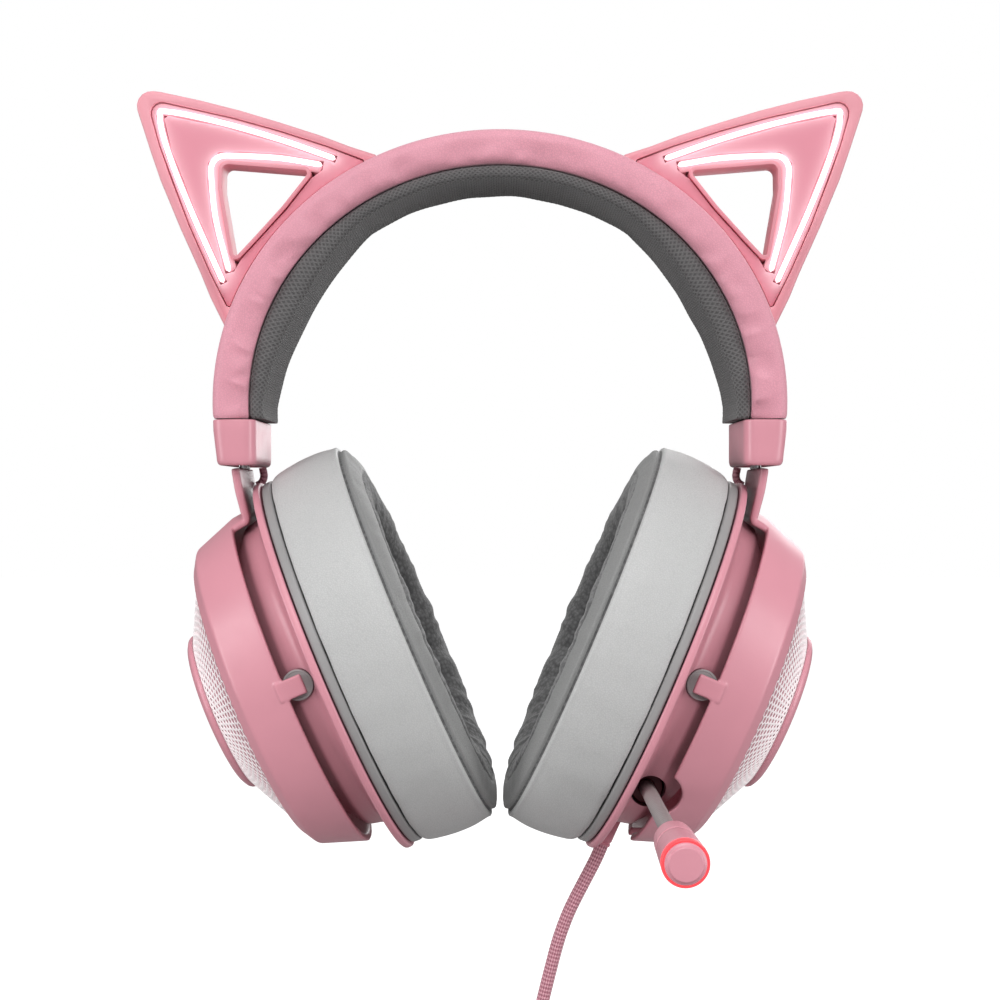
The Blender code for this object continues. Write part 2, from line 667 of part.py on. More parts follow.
def build_cup(label, side):
    pivot = cup_matrix(side) @ Matrix.Translation((PIVOT[0], 0, PIVOT[1]))
    tilt = empty(label + "_tilt_axis", pivot)
    body = empty(label + "_cup_plane", Matrix.Translation((-PIVOT[0], 0, -PIVOT[1])), tilt)

    housing = turned(label + "_cup_housing", (
        (0.0, -0.0137), (0.0323, -0.0137), (0.0358, -0.0118), (0.0411, -0.0079), (0.0418, -0.0050),
        (0.0418, 0.0), (0.0527, 0.0), (0.0527, -0.0020), (0.0470, -0.0024), (0.0446, -0.0036),
        (0.0438, -0.0050), (0.0430, -0.0085), (0.0370, -0.0130), (0.0330, -0.0155), (0.0, -0.0155)),
        PINK, body)
    for face, sign in (("front", -1), ("rear", 1)):
        name = label + "_" + face
        seat = across_rod(name + "_seat", side, PIVOT, (sign * BUSH_SEAT_Y, sign * SEAT_OUTER_Y),
                          BUSH_HEAD_RADIUS + GAP, body)
        hole = across_rod(name + "_hole", side, PIVOT, [sign * y for y in BUSH_BORE_Y],
                          BUSH_BODY_RADIUS + GAP, body)
        cut(housing, seat, hole)
        inner_y, step_y, outer_y = (sign * y for y in BUSH_Y)
        bush = across_rod(name + "_bush", side, PIVOT, (step_y, outer_y), BUSH_HEAD_RADIUS, body,
                          cutter=False, material=GREY)
        stalk_y = (inner_y, (step_y + outer_y) / 2)
        stalk = across_rod(name + "_stalk", side, PIVOT, stalk_y, BUSH_BODY_RADIUS, body)
        bore = across_rod(name + "_bore", side, PIVOT, [sign * y for y in PIN_BORE_Y],
                          PIN_HOLE_RADIUS, body)
        join(bush, stalk)
        cut(bush, bore)

    turned(label + "_pad_ring", ((0.0400, 0.0029), (0.0520, 0.0029), (0.0520, 0.0003), (0.0400, 0.0003)),
           GREY, body, closed=True)
    baffle = turned(label + "_baffle", (
        (0.0, -0.0003), (0.0413, -0.0003), (0.0413, -0.0023), (0.0, -0.0023)), BLACK, body)
    cut(baffle, rod(label + "_driver_hole", (0, 0, 0.002), (0, 0, -0.005), 0.0203, parent=body,
                    steps=CUP_STEPS, cutter=True))
    turned(label + "_driver", (
        (0.0, -0.0005), (0.0200, -0.0005), (0.0200, -0.0035), (0.0150, -0.0042), (0.0140, -0.0080),
        (0.0, -0.0080)), STEEL, body, steps=PIVOT_STEPS, oval=1)
    turned(label + "_diaphragm", (
        (0.0, 0.0024), (0.0090, 0.0019), (0.0190, 0.0005), (0.0190, -0.0002), (0.0, -0.0002)),
        BLACK, body, steps=PIVOT_STEPS, oval=1)
    turned(label + "_pad_mesh", ((0.0, 0.0040), (0.0324, 0.0040), (0.0324, 0.0032), (0.0, 0.0032)),
           SCREEN, body)
    turned(label + "_ear_pad", (
        (0.0360, 0.0250), (0.0415, 0.0257), (0.0465, 0.0250), (0.0503, 0.0232), (0.0534, 0.0170),
        (0.0540, 0.0120), (0.0528, 0.0070), (0.0510, 0.0032), (0.0330, 0.0032), (0.0313, 0.0080),
        (0.0310, 0.0150), (0.0326, 0.0215)), PAD_SKIN, body, closed=True)
    return housing, body


# ---------------------------------------------------------------- microphone, controls and cable

def ring_along_y(name, side, place, radii, y_range, material, parent):
    tube_outer = across_rod(name, side, place, y_range, radii[1], parent, cutter=False, material=material)
    bore_range = (min(y_range) - CUT_MARGIN, max(y_range) + CUT_MARGIN)
    cut(tube_outer, across_rod(name + "_bore", side, place, bore_range, radii[0], parent))
    return tube_outer


def build_microphone(housing, body):
    cut(housing, across_rod("mic_hole", 1, MIC_HOLE, MIC_HOLE_Y, MIC_HOLE_RADIUS, body))
    ring_along_y("mic_guide", 1, MIC_HOLE, GUIDE_RADII, GUIDE_Y, GREY, body)
    x, z = in_cup(1, *MIC_HOLE)
    slide = empty("mic_slide_axis", Matrix.Translation((x, 0, z)))
    rod("mic_boom", (0, BOOM_Y[0], 0), (0, BOOM_Y[1], 0), BOOM_RADIUS, GREY, slide, steps=12)
    shell = rod("mic_housing", (0, MIC_BACK_Y, 0), (0, MIC_FRONT_Y, 0), MIC_RADII[0], PINK, slide,
                end_radius=MIC_RADII[1])
    cut(shell, rod("mic_housing_bore", (0, MIC_BORE_Y[0], 0), (0, MIC_BORE_Y[1], 0), MIC_BORE_RADIUS,
                   parent=slide, cutter=True))
    rod("mic_capsule", (0, MIC_CAPSULE_Y[0], 0), (0, MIC_CAPSULE_Y[1], 0), MIC_BORE_RADIUS - GAP,
        STEEL, slide)
    light = rod("mic_light_ring", (0, MIC_RING_Y[0], 0), (0, MIC_RING_Y[1], 0), MIC_RING_RADIUS,
                RED_LIGHT, slide)
    cut(light, rod("mic_light_bore", (0, MIC_RING_Y[0] - CUT_MARGIN, 0), (0, MIC_RING_Y[1] + CUT_MARGIN, 0),
                   MIC_BORE_RADIUS, parent=slide, cutter=True))
    rod("mic_cap", (0, MIC_CAP_Y[0], 0), (0, MIC_CAP_Y[1], 0), MIC_CAP_RADII[0], PINK, slide,
        end_radius=MIC_CAP_RADII[1])


def build_controls(housing, body):
    reach = WHEEL_RADIUS + WHEEL_GAP
    slot = across_box("wheel_slot", 1, (WHEEL_U - reach, WHEEL_U + reach), WHEEL_SLOT_Y,
                      (WHEEL_N[0] - WHEEL_GAP, WHEEL_N[1] + WHEEL_GAP), body)
    button_u = (BUTTON_U - BUTTON_HALF[0], BUTTON_U + BUTTON_HALF[0])
    button_n = (BUTTON_N - BUTTON_HALF[1], BUTTON_N + BUTTON_HALF[1])
    hole = across_box("button_hole", 1, (button_u[0] - GAP, button_u[1] + GAP), BUTTON_HOLE_Y,
                      (button_n[0] - GAP, button_n[1] + GAP), body)
    cut(housing, slot, hole)
    rod("volume_wheel", (WHEEL_U, -WHEEL_Y, WHEEL_N[0]), (WHEEL_U, -WHEEL_Y, WHEEL_N[1]), WHEEL_RADIUS,
        GREY, body)
    across_box("mute_button", 1, button_u, BUTTON_Y, button_n, body, cutter=False, material=GREY)
    across_box("control_board", 1, BOARD_U, BOARD_DEPTH_Y, BOARD_N, body, cutter=False, material=BOARD)


def build_cable(housing, body):
    rod("strain_relief", (RELIEF_U[0], 0, RELIEF_N), (RELIEF_U[1], 0, RELIEF_N), RELIEF_RADIUS,
        PINK, body, steps=RELIEF_STEPS, end_radius=RELIEF_RADIUS * RELIEF_END_SCALE)
    cut(housing, rod("relief_hole", (RELIEF_HOLE_U[0], 0, RELIEF_N), (RELIEF_HOLE_U[1], 0, RELIEF_N),
                     RELIEF_RADIUS + GAP, parent=body, steps=RELIEF_STEPS, cutter=True))
    tube("main_cable", [(x, 0, z) for x, z in CABLE_ROUTE], CABLE_RADIUS, BRAID)

    x, z = COIL_CENTRE
    inner, outer = COIL_MEAN_RADIUS - COIL_HALF_SECTION, COIL_MEAN_RADIUS + COIL_HALF_SECTION
    half = COIL_HALF_SECTION
    soft = COIL_CORNER
    coil = turned("cable_coil", (
        (inner + soft, half), (outer - soft, half), (outer, half - soft), (outer, soft - half),
        (outer - soft, -half), (inner + soft, -half), (inner, soft - half), (inner, half - soft)),
        BRAID, closed=True, oval=1)
    coil.location = (x, 0, z)
    coil.rotation_euler = (pi / 2, 0, 0)
    tail = [(x + dx, 0, z + dz) for dx, dz in TAIL_ROUTE]
    tube("cable_tail", smooth(tail, 2), CABLE_RADIUS, BRAID)

    tie_place = Matrix.Translation((x, 0, z)) @ Matrix.Rotation(-TIE_ANGLE, 4, "Y")
    tie_frame = empty("tie_frame", tie_place @ Matrix.Translation((COIL_MEAN_RADIUS, 0, 0)))
    tie = box("cable_tie", (-TIE_OUTER, -TIE_OUTER, -TIE_HALF_WIDTH), (TIE_OUTER, TIE_OUTER, TIE_HALF_WIDTH),
              BLACK, tie_frame)
    reach = TIE_HALF_WIDTH + CUT_MARGIN
    cut(tie, box("tie_opening", (-TIE_OPENING, -TIE_OPENING, -reach), (TIE_OPENING, TIE_OPENING, reach),
                 parent=tie_frame, cutter=True))

    end_x, end_z = x + TAIL_ROUTE[-1][0], z + TAIL_ROUTE[-1][1] - GAP
    plug_end = end_z - 2 * PLUG_HALF[2]
    box("plug_body", (end_x - PLUG_HALF[0], -PLUG_HALF[1], plug_end),
        (end_x + PLUG_HALF[0], PLUG_HALF[1], end_z), PINK)
    shell_top = plug_end - GAP
    shell_end = shell_top - 2 * SHELL_HALF[2]
    shell = box("plug_shell", (end_x - SHELL_HALF[0], -SHELL_HALF[1], shell_end),
                (end_x + SHELL_HALF[0], SHELL_HALF[1], shell_top), STEEL)
    mouth_x, mouth_y = SHELL_HALF[0] - SHELL_WALL, SHELL_HALF[1] - SHELL_WALL
    cut(shell, box("plug_mouth", (end_x - mouth_x, -mouth_y, shell_end - CUT_MARGIN),
                   (end_x + mouth_x, mouth_y, shell_top - SHELL_BACK), cutter=True))


# ---------------------------------------------------------------- assembly

build_headband()
for side_label, side_sign in SIDES.items():
    build_collar(side_label, side_sign)
    build_ear(side_label, side_sign)
    build_yoke(side_label, side_sign)
    cup_housing, cup_body = build_cup(side_label, side_sign)
    if side_sign > 0:
        build_microphone(cup_housing, cup_body)
        build_controls(cup_housing, cup_body)
        build_cable(cup_housing, cup_body)
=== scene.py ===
"""A pink cat-ear gaming headset: finished pieces and materials over the CAD frame.

Everything is in metres in the row frame: X to the wearer's left, -Y to the front, +Z up.
A cup is drawn in its own plane: u runs down the cup, n towards the head.
"""
from math import asin, cos, hypot, pi, radians, sin, sqrt, tan, tau

import bmesh
import bpy
import numpy as np
from mathutils import Matrix, Vector, kdtree, noise


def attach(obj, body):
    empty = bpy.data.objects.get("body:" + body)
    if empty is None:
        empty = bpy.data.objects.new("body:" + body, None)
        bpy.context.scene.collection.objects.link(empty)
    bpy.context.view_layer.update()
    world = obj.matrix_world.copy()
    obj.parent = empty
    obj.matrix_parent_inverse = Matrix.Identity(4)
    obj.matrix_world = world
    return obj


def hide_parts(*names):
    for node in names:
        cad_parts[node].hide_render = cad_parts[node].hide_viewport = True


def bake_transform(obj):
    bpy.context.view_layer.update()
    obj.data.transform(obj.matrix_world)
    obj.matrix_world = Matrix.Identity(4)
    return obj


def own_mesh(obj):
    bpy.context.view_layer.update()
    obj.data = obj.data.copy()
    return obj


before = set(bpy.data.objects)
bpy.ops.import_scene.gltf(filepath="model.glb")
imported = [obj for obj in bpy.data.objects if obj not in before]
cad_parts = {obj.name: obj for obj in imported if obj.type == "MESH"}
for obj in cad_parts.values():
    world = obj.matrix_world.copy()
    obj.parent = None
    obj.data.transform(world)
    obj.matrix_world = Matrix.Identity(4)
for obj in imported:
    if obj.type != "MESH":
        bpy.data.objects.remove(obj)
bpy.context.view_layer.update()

SCENE = bpy.context.scene

GAP = 0.0003
SIDES = {"left": -1, "right": 1}

# Headband: ellipses about one centre
BAND_CENTRE_Z = -0.0585
BAND_END_Z = -0.0628
BAND_HALF_WIDTH = 0.0185
COVER_OUTER = (0.0748, 0.0710)
COVER_INNER = (0.0655, 0.0620)
CUSHION_INNER = (0.0616, 0.0585)
CUSHION_BULGE = 0.0028
CUSHION_BULGE_SPAN = radians(55)
CUSHION_HALF_WIDTH = 0.0165
COLLAR_X = (0.0634, 0.0748)
COLLAR_Z = (-0.0750, -0.0631)
STEM_X = 0.0687
STEM_HALF_WIDTH = 0.0070
LINK_ROUTE = ((0.0654, -0.0751), (0.0650, -0.0774), (0.0656, -0.0791), (0.0668, -0.0800))
LINK_Y = 0.0120
LINK_RADIUS = 0.0011

# Length of the band at the middle of the cover and of the cushion, and the rounding at its ends
COVER_ARC = 0.215
CUSHION_ARC = 0.190
END_ROUNDING = 0.0016
KNIT_PITCH = 0.00125
COVER_STEPS = 420
CUSHION_STEPS = 560

# Cup plane
CUP_CENTRE = (0.0434, -0.1277)
CUP_TILT = radians(23)
OVAL = 0.855
PIVOT = (-0.0006, -0.0071)
RING_EDGE = 0.0470
NECK_HALF_WIDTH = 0.0140
MIC_HOLE = (0.0302, -0.0068)
MIC_NOTCH = (0.0294, -0.0089)
TAB_HALF = 0.00255
WHEEL = (0.0220, -0.00525)
BUTTON_U = -0.0160
GRILLE_OUTER = 0.0369
GRILLE_INNER = 0.0205
GRILLE_COLUMNS = 116
GRILLE_ROWS = 8
GRILLE_MARGINS = (0.0012, 0.0030)
GRILLE_OPENING = (0.88, 0.48)
GRILLE_THICKNESS = 0.00022
GRILLE_HALO = (0.3, 1.0)
WHEEL_Y = 0.0265

# Cable
CABLE_RADIUS = 0.0018
RELIEF_N = -0.0044
RELIEF_U = (0.0418, 0.0510)
CABLE_ROUTE = (
    (0.0274, -0.1767), (0.0257, -0.1806), (0.0228, -0.1862), (0.0203, -0.1910), (0.0181, -0.1957),
    (0.0158, -0.2020), (0.0138, -0.2093), (0.0118, -0.2173), (0.0104, -0.2234), (0.0099, -0.2254),
    (0.0087, -0.2282), (0.0064, -0.2304), (0.0034, -0.2316),
)
COIL_CENTRE = (-0.0008, -0.2632)
COIL_PITCH = 0.0037
COIL_MEAN_RADIUS = 0.0215
COIL_ENTRY = (2.25, 0)
COIL_SLOTS = ((1, 1), (0, 1), (-1, 1), (-1, 0), (-1, -1), (0, -1), (0, 0), (1, 0), (1, -1))
# The coil in degrees: its ends, a step, where and how long it crosses, and its last stretch
COIL_FIRST = 100
COIL_LAST = 240 + 8 * 360
COIL_STEP = 6
COIL_CROSSING = 75
COIL_CROSSING_SPAN = 70
COIL_LEAVING = 60
TAIL_ROUTE = (
    (-0.0004, -0.0294), (0.0031, -0.0326), (0.0053, -0.0373), (0.0061, -0.0435), (0.0056, -0.0500),
)
COIL_LEAVES = (-0.0066, -0.0262)
PLUG_SOCKET = (0.0056, -0.0505)
TIE_ANGLE = radians(150)
PLUG_TOP_Z = COIL_CENTRE[1] - 0.0503
PLUG_X = COIL_CENTRE[0] + 0.0056
PLUG_HALF = (0.0075, 0.0038, 0.0170)
BRAID_YARNS = 8
BRAID_PITCH = 0.0021
BRAID_RELIEF = 0.00016

# Ears: the shell's outline and the routes of the two light guides
EAR_TOP_EDGE = (
    (0.0315, 0.0067), (0.0333, 0.0081), (0.0399, 0.0102), (0.0479, 0.0132), (0.0585, 0.0166),
    (0.0692, 0.0198), (0.0798, 0.0225), (0.0905, 0.0248),
)
EAR_TIP = (0.0985, 0.0257)
EAR_TIP_RADIUS = 0.0040
EAR_SIDE_EDGE = (
    (0.0958, 0.0171), (0.0931, 0.0088), (0.0905, 0.0012), (0.0852, -0.0116), (0.0798, -0.0236),
    (0.0772, -0.0300), (0.0735, -0.0375),
)
OUTER_STRIP = (
    (0.0439, 0.0070), (0.0585, 0.0121), (0.0745, 0.0167), (0.0887, 0.0196), (0.0907, 0.0181),
    (0.0885, 0.0088), (0.0824, -0.0068), (0.0738, -0.0260),
)
INNER_STRIP = (
    (0.0474, 0.0053), (0.0585, 0.0071), (0.0692, 0.0077), (0.0745, 0.0076), (0.0768, 0.0054),
    (0.0769, 0.0012), (0.0757, -0.0095), (0.0722, -0.0231),
)
HALO_GRID = 0.0010
HALO_REACH = 0.0011

# Ear pads
PAD_PROFILE = (
    (0.0420, 0.0032), (0.0506, 0.0032), (0.0526, 0.0042), (0.0535, 0.0078), (0.0540, 0.0125),
    (0.0540, 0.0175), (0.0533, 0.0214), (0.0517, 0.0239), (0.0488, 0.0255), (0.0450, 0.0264),
    (0.0410, 0.0266), (0.0372, 0.0258), (0.0338, 0.0236), (0.0319, 0.0197), (0.0311, 0.0150),
    (0.0311, 0.0100), (0.0318, 0.0060), (0.0335, 0.0033),
)
PAD_SEAM = (0.0526, 0.0228)
PAD_CREASE_R = 0.0446
PAD_FRONT_N = 0.012
PAD_GLUED_N = 0.0075
PAD_AROUND = 300
PAD_POINTS = 190

# Cloth that swells the padded pieces
CLOTH = {"use_pressure": True, "uniform_pressure_force": 4.0, "vertex_group_mass": "held", "quality": 6,
         "tension_stiffness": 25.0, "compression_stiffness": 25.0, "bending_stiffness": 1.5}
CLOTH_FRAMES = 20

# Camera and lights
CAMERA = (0.0, -0.49, -0.084)
LENS = 65.6
FLOOR_Z = -0.3625
FLOOR_HALF = 6.0
FLOOR_LIFT = 0.95
WORLD_LIGHT = 0.27
LIGHT_TARGET = (0.0, 0.0, -0.09)
LIGHTS = (  # name, place, width, height, power
    ("key", (-0.05, -1.05, 0.72), 0.8, 0.8, 9.0),
    ("top", (0.0, 0.15, 1.1), 1.0, 1.0, 3.2),
    ("back", (0.45, 1.25, 0.35), 0.9, 0.9, 6.0),
    ("left_strip", (-1.15, -0.55, -0.05), 0.35, 0.9, 7.0),
    ("right_strip", (1.15, -0.55, -0.05), 0.35, 0.9, 7.0),
)


# ---- camera

def place_camera():
    data = bpy.data.cameras.new("camera")
    data.lens = LENS
    data.sensor_width = 36.0
    data.clip_start = 0.01
    camera = bpy.data.objects.new("camera", data)
    SCENE.collection.objects.link(camera)
    camera.location = CAMERA
    camera.rotation_euler = (radians(90), 0.0, 0.0)
    SCENE.camera = camera


# ---- materials

class Surface:
    """A Principled material and short calls for the nodes that feed it."""

    def __init__(self, name, colour, roughness, metallic=0.0):
        self.material = bpy.data.materials.new(name)
        self.material.use_nodes = True
        self.tree = self.material.node_tree
        self.shader = self.tree.nodes["Principled BSDF"]
        self.finish({"Base Color": (*colour, 1.0), "Roughness": roughness, "Metallic": metallic})
        self.place = self.node("ShaderNodeTexCoord").outputs["Object"]

    def fill(self, item, links):
        """Give a node's inputs, by number or name, their sockets or values."""
        for key, value in links.items():
            if isinstance(value, bpy.types.NodeSocket):
                self.tree.links.new(value, item.inputs[key])
            else:
                item.inputs[key].default_value = value

    def node(self, kind, links=None, **settings):
        item = self.tree.nodes.new(kind)
        for key, value in settings.items():
            setattr(item, key, value)
        self.fill(item, links or {})
        return item

    def finish(self, links):
        """Fill the shader's own inputs, and give the material."""
        self.fill(self.shader, links)
        return self.material

    def noise(self, scale, detail=2.0, roughness=0.5, place=None):
        links = {"Vector": place or self.place, "Scale": scale, "Detail": detail, "Roughness": roughness}
        return self.node("ShaderNodeTexNoise", links).outputs["Fac"]

    def math(self, operation, first, second=0.5, third=0.5):
        return self.node("ShaderNodeMath", {0: first, 1: second, 2: third}, operation=operation).outputs[0]

    def weighed(self, first, first_share, second, second_share):
        return self.math("MULTIPLY_ADD", first, first_share, self.math("MULTIPLY", second, second_share))

    def spread(self, value, low, high, to_low=0.0, to_high=1.0):
        links = {"Value": value, "From Min": low, "From Max": high, "To Min": to_low, "To Max": to_high}
        return self.node("ShaderNodeMapRange", links).outputs["Result"]

    def cloud(self, noise, low=0.0, high=1.0, reach=0.2):
        """A noise stretched so that most of its values run from low to high."""
        return self.spread(noise, 0.5 - reach, 0.5 + reach, low, high)

    def mix(self, factor, first, second):
        first, second = ((*c, 1.0) if isinstance(c, tuple) else c for c in (first, second))
        return self.node("ShaderNodeMix", {0: factor, 6: first, 7: second}, data_type="RGBA").outputs[2]

    def bump(self, height, depth, strength=1.0, under=None):
        links = {"Height": height, "Distance": depth, "Strength": strength}
        if under is not None:
            links["Normal"] = under
        return self.node("ShaderNodeBump", links).outputs["Normal"]

    def map_axes(self):
        """The two axes of the mesh's own map."""
        where = self.node("ShaderNodeUVMap", uv_map="metres").outputs["UV"]
        axes = self.node("ShaderNodeSeparateXYZ", {"Vector": where}).outputs
        return axes["X"], axes["Y"]


def shade(colour, share):
    return tuple(min(1.0, c * share) for c in colour)


def moulded(name, colour, roughness=0.36, texture=0.00003, depth=0.0):
    """Satin moulded plastic: a fine texture, slow changes of tone and gloss, and, with a depth, painted
    shade in recesses.
    """
    surface = Surface(name, colour, roughness)
    pale = tuple(min(1.0, c * 1.05 + 0.01) for c in colour)
    tone = surface.mix(surface.cloud(surface.noise(28.0, 3.0)), shade(colour, 0.94), pale)
    if depth:
        # Painted shade: ambient occlusion within the depth darkens the colour in recesses.
        painted_shade_ao = surface.node("ShaderNodeAmbientOcclusion", {"Distance": depth}, samples=6).outputs["AO"]
        tone = surface.mix(surface.spread(painted_shade_ao, 0.15, 0.85), shade(colour, 0.42), tone)
    gloss = surface.cloud(surface.noise(160.0, 4.0, 0.6), roughness - 0.04, roughness + 0.05)
    grain = surface.bump(surface.noise(2600.0, 2.0, 0.6), texture, 0.6)
    return surface.finish({"Base Color": tone, "Roughness": gloss, "Normal": grain})


def leather(name, colour, cell, depth, roughness, sheen, mottle):
    """Coated fabric with a pebbled grain: cells with soft grooves, and slow mottling."""
    surface = Surface(name, colour, roughness)
    links = {"Vector": surface.place, "Scale": 0.4 / cell, "Detail": 2.0}
    wobble = surface.node("ShaderNodeTexNoise", links)
    warped = surface.node("ShaderNodeMixRGB", {0: cell * 0.55, 1: surface.place, 2: wobble.outputs["Color"]},
                          blend_type="ADD").outputs[0]
    cells = surface.node("ShaderNodeTexVoronoi", {"Vector": warped, "Scale": 1.0 / cell},
                         feature="DISTANCE_TO_EDGE").outputs["Distance"]
    pebble = surface.spread(cells, 0.0, 0.28)
    slow = surface.cloud(surface.noise(30.0, 4.0, 0.6))
    tone = surface.mix(slow, shade(colour, 1.0 - mottle), shade(colour, 1.0 + mottle))
    relief = surface.bump(pebble, depth, 0.7)
    return surface.finish({
        "Base Color": surface.mix(surface.spread(pebble, 0.0, 0.6), shade(colour, 0.88), tone),
        "Roughness": surface.spread(pebble, 0.0, 1.0, roughness + 0.14, roughness),
        "Normal": surface.bump(surface.noise(3.2 / cell), depth * 0.4, 0.6, relief),
        "Sheen Weight": sheen, "Sheen Roughness": 0.4})


def cloth(surface, dark, light, tone, body, depth, sheen):
    """Finish a textile: its colour follows the tone, its relief the body."""
    return surface.finish({"Base Color": surface.mix(tone, dark, light), "Normal": surface.bump(body, depth),
                           "Sheen Weight": sheen, "Sheen Roughness": 0.5})


def woven(name, dark, light, pitch, depth):
    """A diagonal knit in the mesh's own metre-true map: two crossing families of ridges."""
    surface = Surface(name, dark, 0.85)
    along, across = surface.map_axes()
    ridges = []
    for sign in (1.0, -1.0):
        slope = surface.math("MULTIPLY_ADD", across, sign, along)
        ridges.append(surface.math("SINE", surface.math("MULTIPLY", slope, tau / pitch)))
    height = surface.spread(surface.math("MAXIMUM", *ridges), -0.6, 1.0)
    body = surface.weighed(surface.noise(2400.0, 3.0, 0.7), 0.35, height, 0.75)
    tone = surface.math("MULTIPLY", body, surface.cloud(surface.noise(45.0, 3.0), 0.75, 1.1, 0.25))
    return cloth(surface, dark, light, tone, body, depth, 0.3)


def knitted(name, dark, light, cell, depth):
    """Soft brushed knit for curved pads: small cells from place alone, with fuzz over them."""
    surface = Surface(name, dark, 0.9)
    cells = surface.node("ShaderNodeTexVoronoi", {"Vector": surface.place, "Scale": 1.0 / cell})
    knit = surface.spread(cells.outputs["Distance"], 0.0, 0.75, 1.0, 0.0)
    body = surface.weighed(surface.noise(3000.0, 3.0, 0.7), 0.5, knit, 0.6)
    tone = surface.math("MULTIPLY", body, surface.cloud(surface.noise(60.0, 4.0, 0.6), 0.7, 1.15, 0.25))
    return cloth(surface, dark, light, tone, body, depth, 0.35)


def braided(name, dark, light):
    """Sleeving: the diamonds of two crossing yarns, from the tube's own map of turns and metres."""
    surface = Surface(name, dark, 0.6)
    turns, metres = surface.map_axes()
    around = surface.math("MULTIPLY", turns, tau * BRAID_YARNS)
    along = surface.math("MULTIPLY", metres, tau / BRAID_PITCH)
    first = surface.math("SINE", surface.math("ADD", around, along))
    second = surface.math("SINE", surface.math("SUBTRACT", around, along))
    yarn = surface.spread(surface.math("MULTIPLY", first, second), -0.35, 0.45)
    tone = surface.weighed(surface.noise(5200.0, 2.0, 0.7), 0.3, yarn, 0.85)
    return cloth(surface, dark, light, tone, tone, 0.00012, 0.25)


def metal(name, colour, roughness):
    surface = Surface(name, colour, roughness, 1.0)
    stretch = surface.node("ShaderNodeMapping", {"Vector": surface.place, "Scale": (1.0, 1.0, 0.04)})
    lines = surface.noise(2500.0, 4.0, 0.7, stretch.outputs[0])
    return surface.finish({"Roughness": surface.cloud(lines, roughness - 0.06, roughness + 0.1),
                           "Normal": surface.bump(lines, 0.00001, 0.5)})


def glowing(name, colour, glow, strength):
    """A lit diffuser with faint milky cloudiness."""
    surface = Surface(name, colour, 0.35)
    cloud = surface.cloud(surface.noise(140.0, 3.0), 0.75, 1.0)
    return surface.finish({
        "Emission Color": surface.mix(cloud, shade(glow, 0.8), glow), "Emission Strength": strength,
        "Normal": surface.bump(surface.noise(1800.0), 0.00002, 0.4)})


def haloed(name, colour, roughness, glow):
    """Moulded plastic with a painted glow from a light guide beside it; the mesh says how near each point
    is.
    """
    surface = Surface(name, colour, roughness)
    near = surface.node("ShaderNodeAttribute", attribute_name="halo").outputs["Fac"]
    cloud = surface.cloud(surface.noise(90.0, 3.0), 0.94, 1.04)
    return surface.finish({
        "Base Color": surface.mix(cloud, shade(colour, 0.9), colour),
        "Emission Color": surface.mix(near, (0.0, 0.0, 0.0), glow), "Emission Strength": 1.0,
        "Normal": surface.bump(surface.noise(2600.0), 0.00003, 0.6)})


def board(name):
    """Solder-masked circuit board with faint copper tracks."""
    surface = Surface(name, (0.02, 0.12, 0.05), 0.45)
    tracks = surface.node("ShaderNodeTexBrick", {
        "Vector": surface.place, "Scale": 260.0, "Mortar Size": 0.03, "Color1": (0.02, 0.13, 0.05, 1.0),
        "Color2": (0.02, 0.11, 0.05, 1.0), "Mortar": (0.06, 0.24, 0.10, 1.0)}).outputs["Color"]
    relief = surface.bump(surface.noise(1500.0), 0.00003, 0.5)
    return surface.finish({"Base Color": tracks, "Normal": relief})


# The pink plastic has painted shade in its recesses: ambient occlusion within 11 mm darkens its colour.
PINK = moulded("pink_plastic", (0.77, 0.325, 0.395), 0.33, depth=0.011)
PINK_EAR = moulded("pink_ear_plastic", (0.84, 0.345, 0.405), 0.40)
# Painted glow: emission on the panel near the light guides.
PANEL = haloed("pink_ear_panel", (0.78, 0.285, 0.360), 0.36, (0.24, 0.28, 0.28))
GLOW_BASE = glowing("light_base", (0.84, 0.44, 0.50), (1.0, 0.70, 0.76), 0.26)
PINK_RELIEF = moulded("pink_soft_plastic", (0.72, 0.27, 0.34), 0.5, 0.00006)
LEATHERETTE = leather("pink_leatherette", (0.82, 0.360, 0.450), 0.00062, 0.00004, 0.44, 0.3, 0.05)
CUSHION = woven("grey_fabric", (0.060, 0.056, 0.057), (0.150, 0.145, 0.146), KNIT_PITCH, 0.00022)
PAD_SKIN = leather("grey_leatherette", (0.60, 0.603, 0.60), 0.00055, 0.000045, 0.42, 0.15, 0.03)
# A darker copy of the pad leatherette: painted shade on the rolled edge, which faces away from the light.
PAD_ROLL_PAINTED_SHADE = leather("grey_rolled_leatherette_painted_shade", (0.30, 0.302, 0.30), 0.00055, 0.00006, 0.5, 0.2, 0.10)
PAD_KNIT = knitted("grey_knit", (0.060, 0.060, 0.062), (0.30, 0.30, 0.30), 0.0011, 0.00022)
GREY = moulded("grey_plastic", (0.36, 0.352, 0.352), 0.40)
GREY_DARK = moulded("dark_grey_plastic", (0.085, 0.080, 0.085), 0.45)
BOOM = moulded("boom_sleeve", (0.33, 0.29, 0.29), 0.42, 0.00005)
# Pink plastic as it looks in deep shade: painted shade for the mic grommet inside its hole.
PINK_IN_PAINTED_SHADE = moulded("pink_plastic_in_painted_shade", (0.17, 0.026, 0.040), 0.5)
LIGHT = glowing("light_guide", (1.0, 0.95, 0.96), (1.0, 0.86, 0.90), 1.5)
RED_LIGHT = glowing("red_light", (0.80, 0.06, 0.07), (1.0, 0.045, 0.055), 1.1)
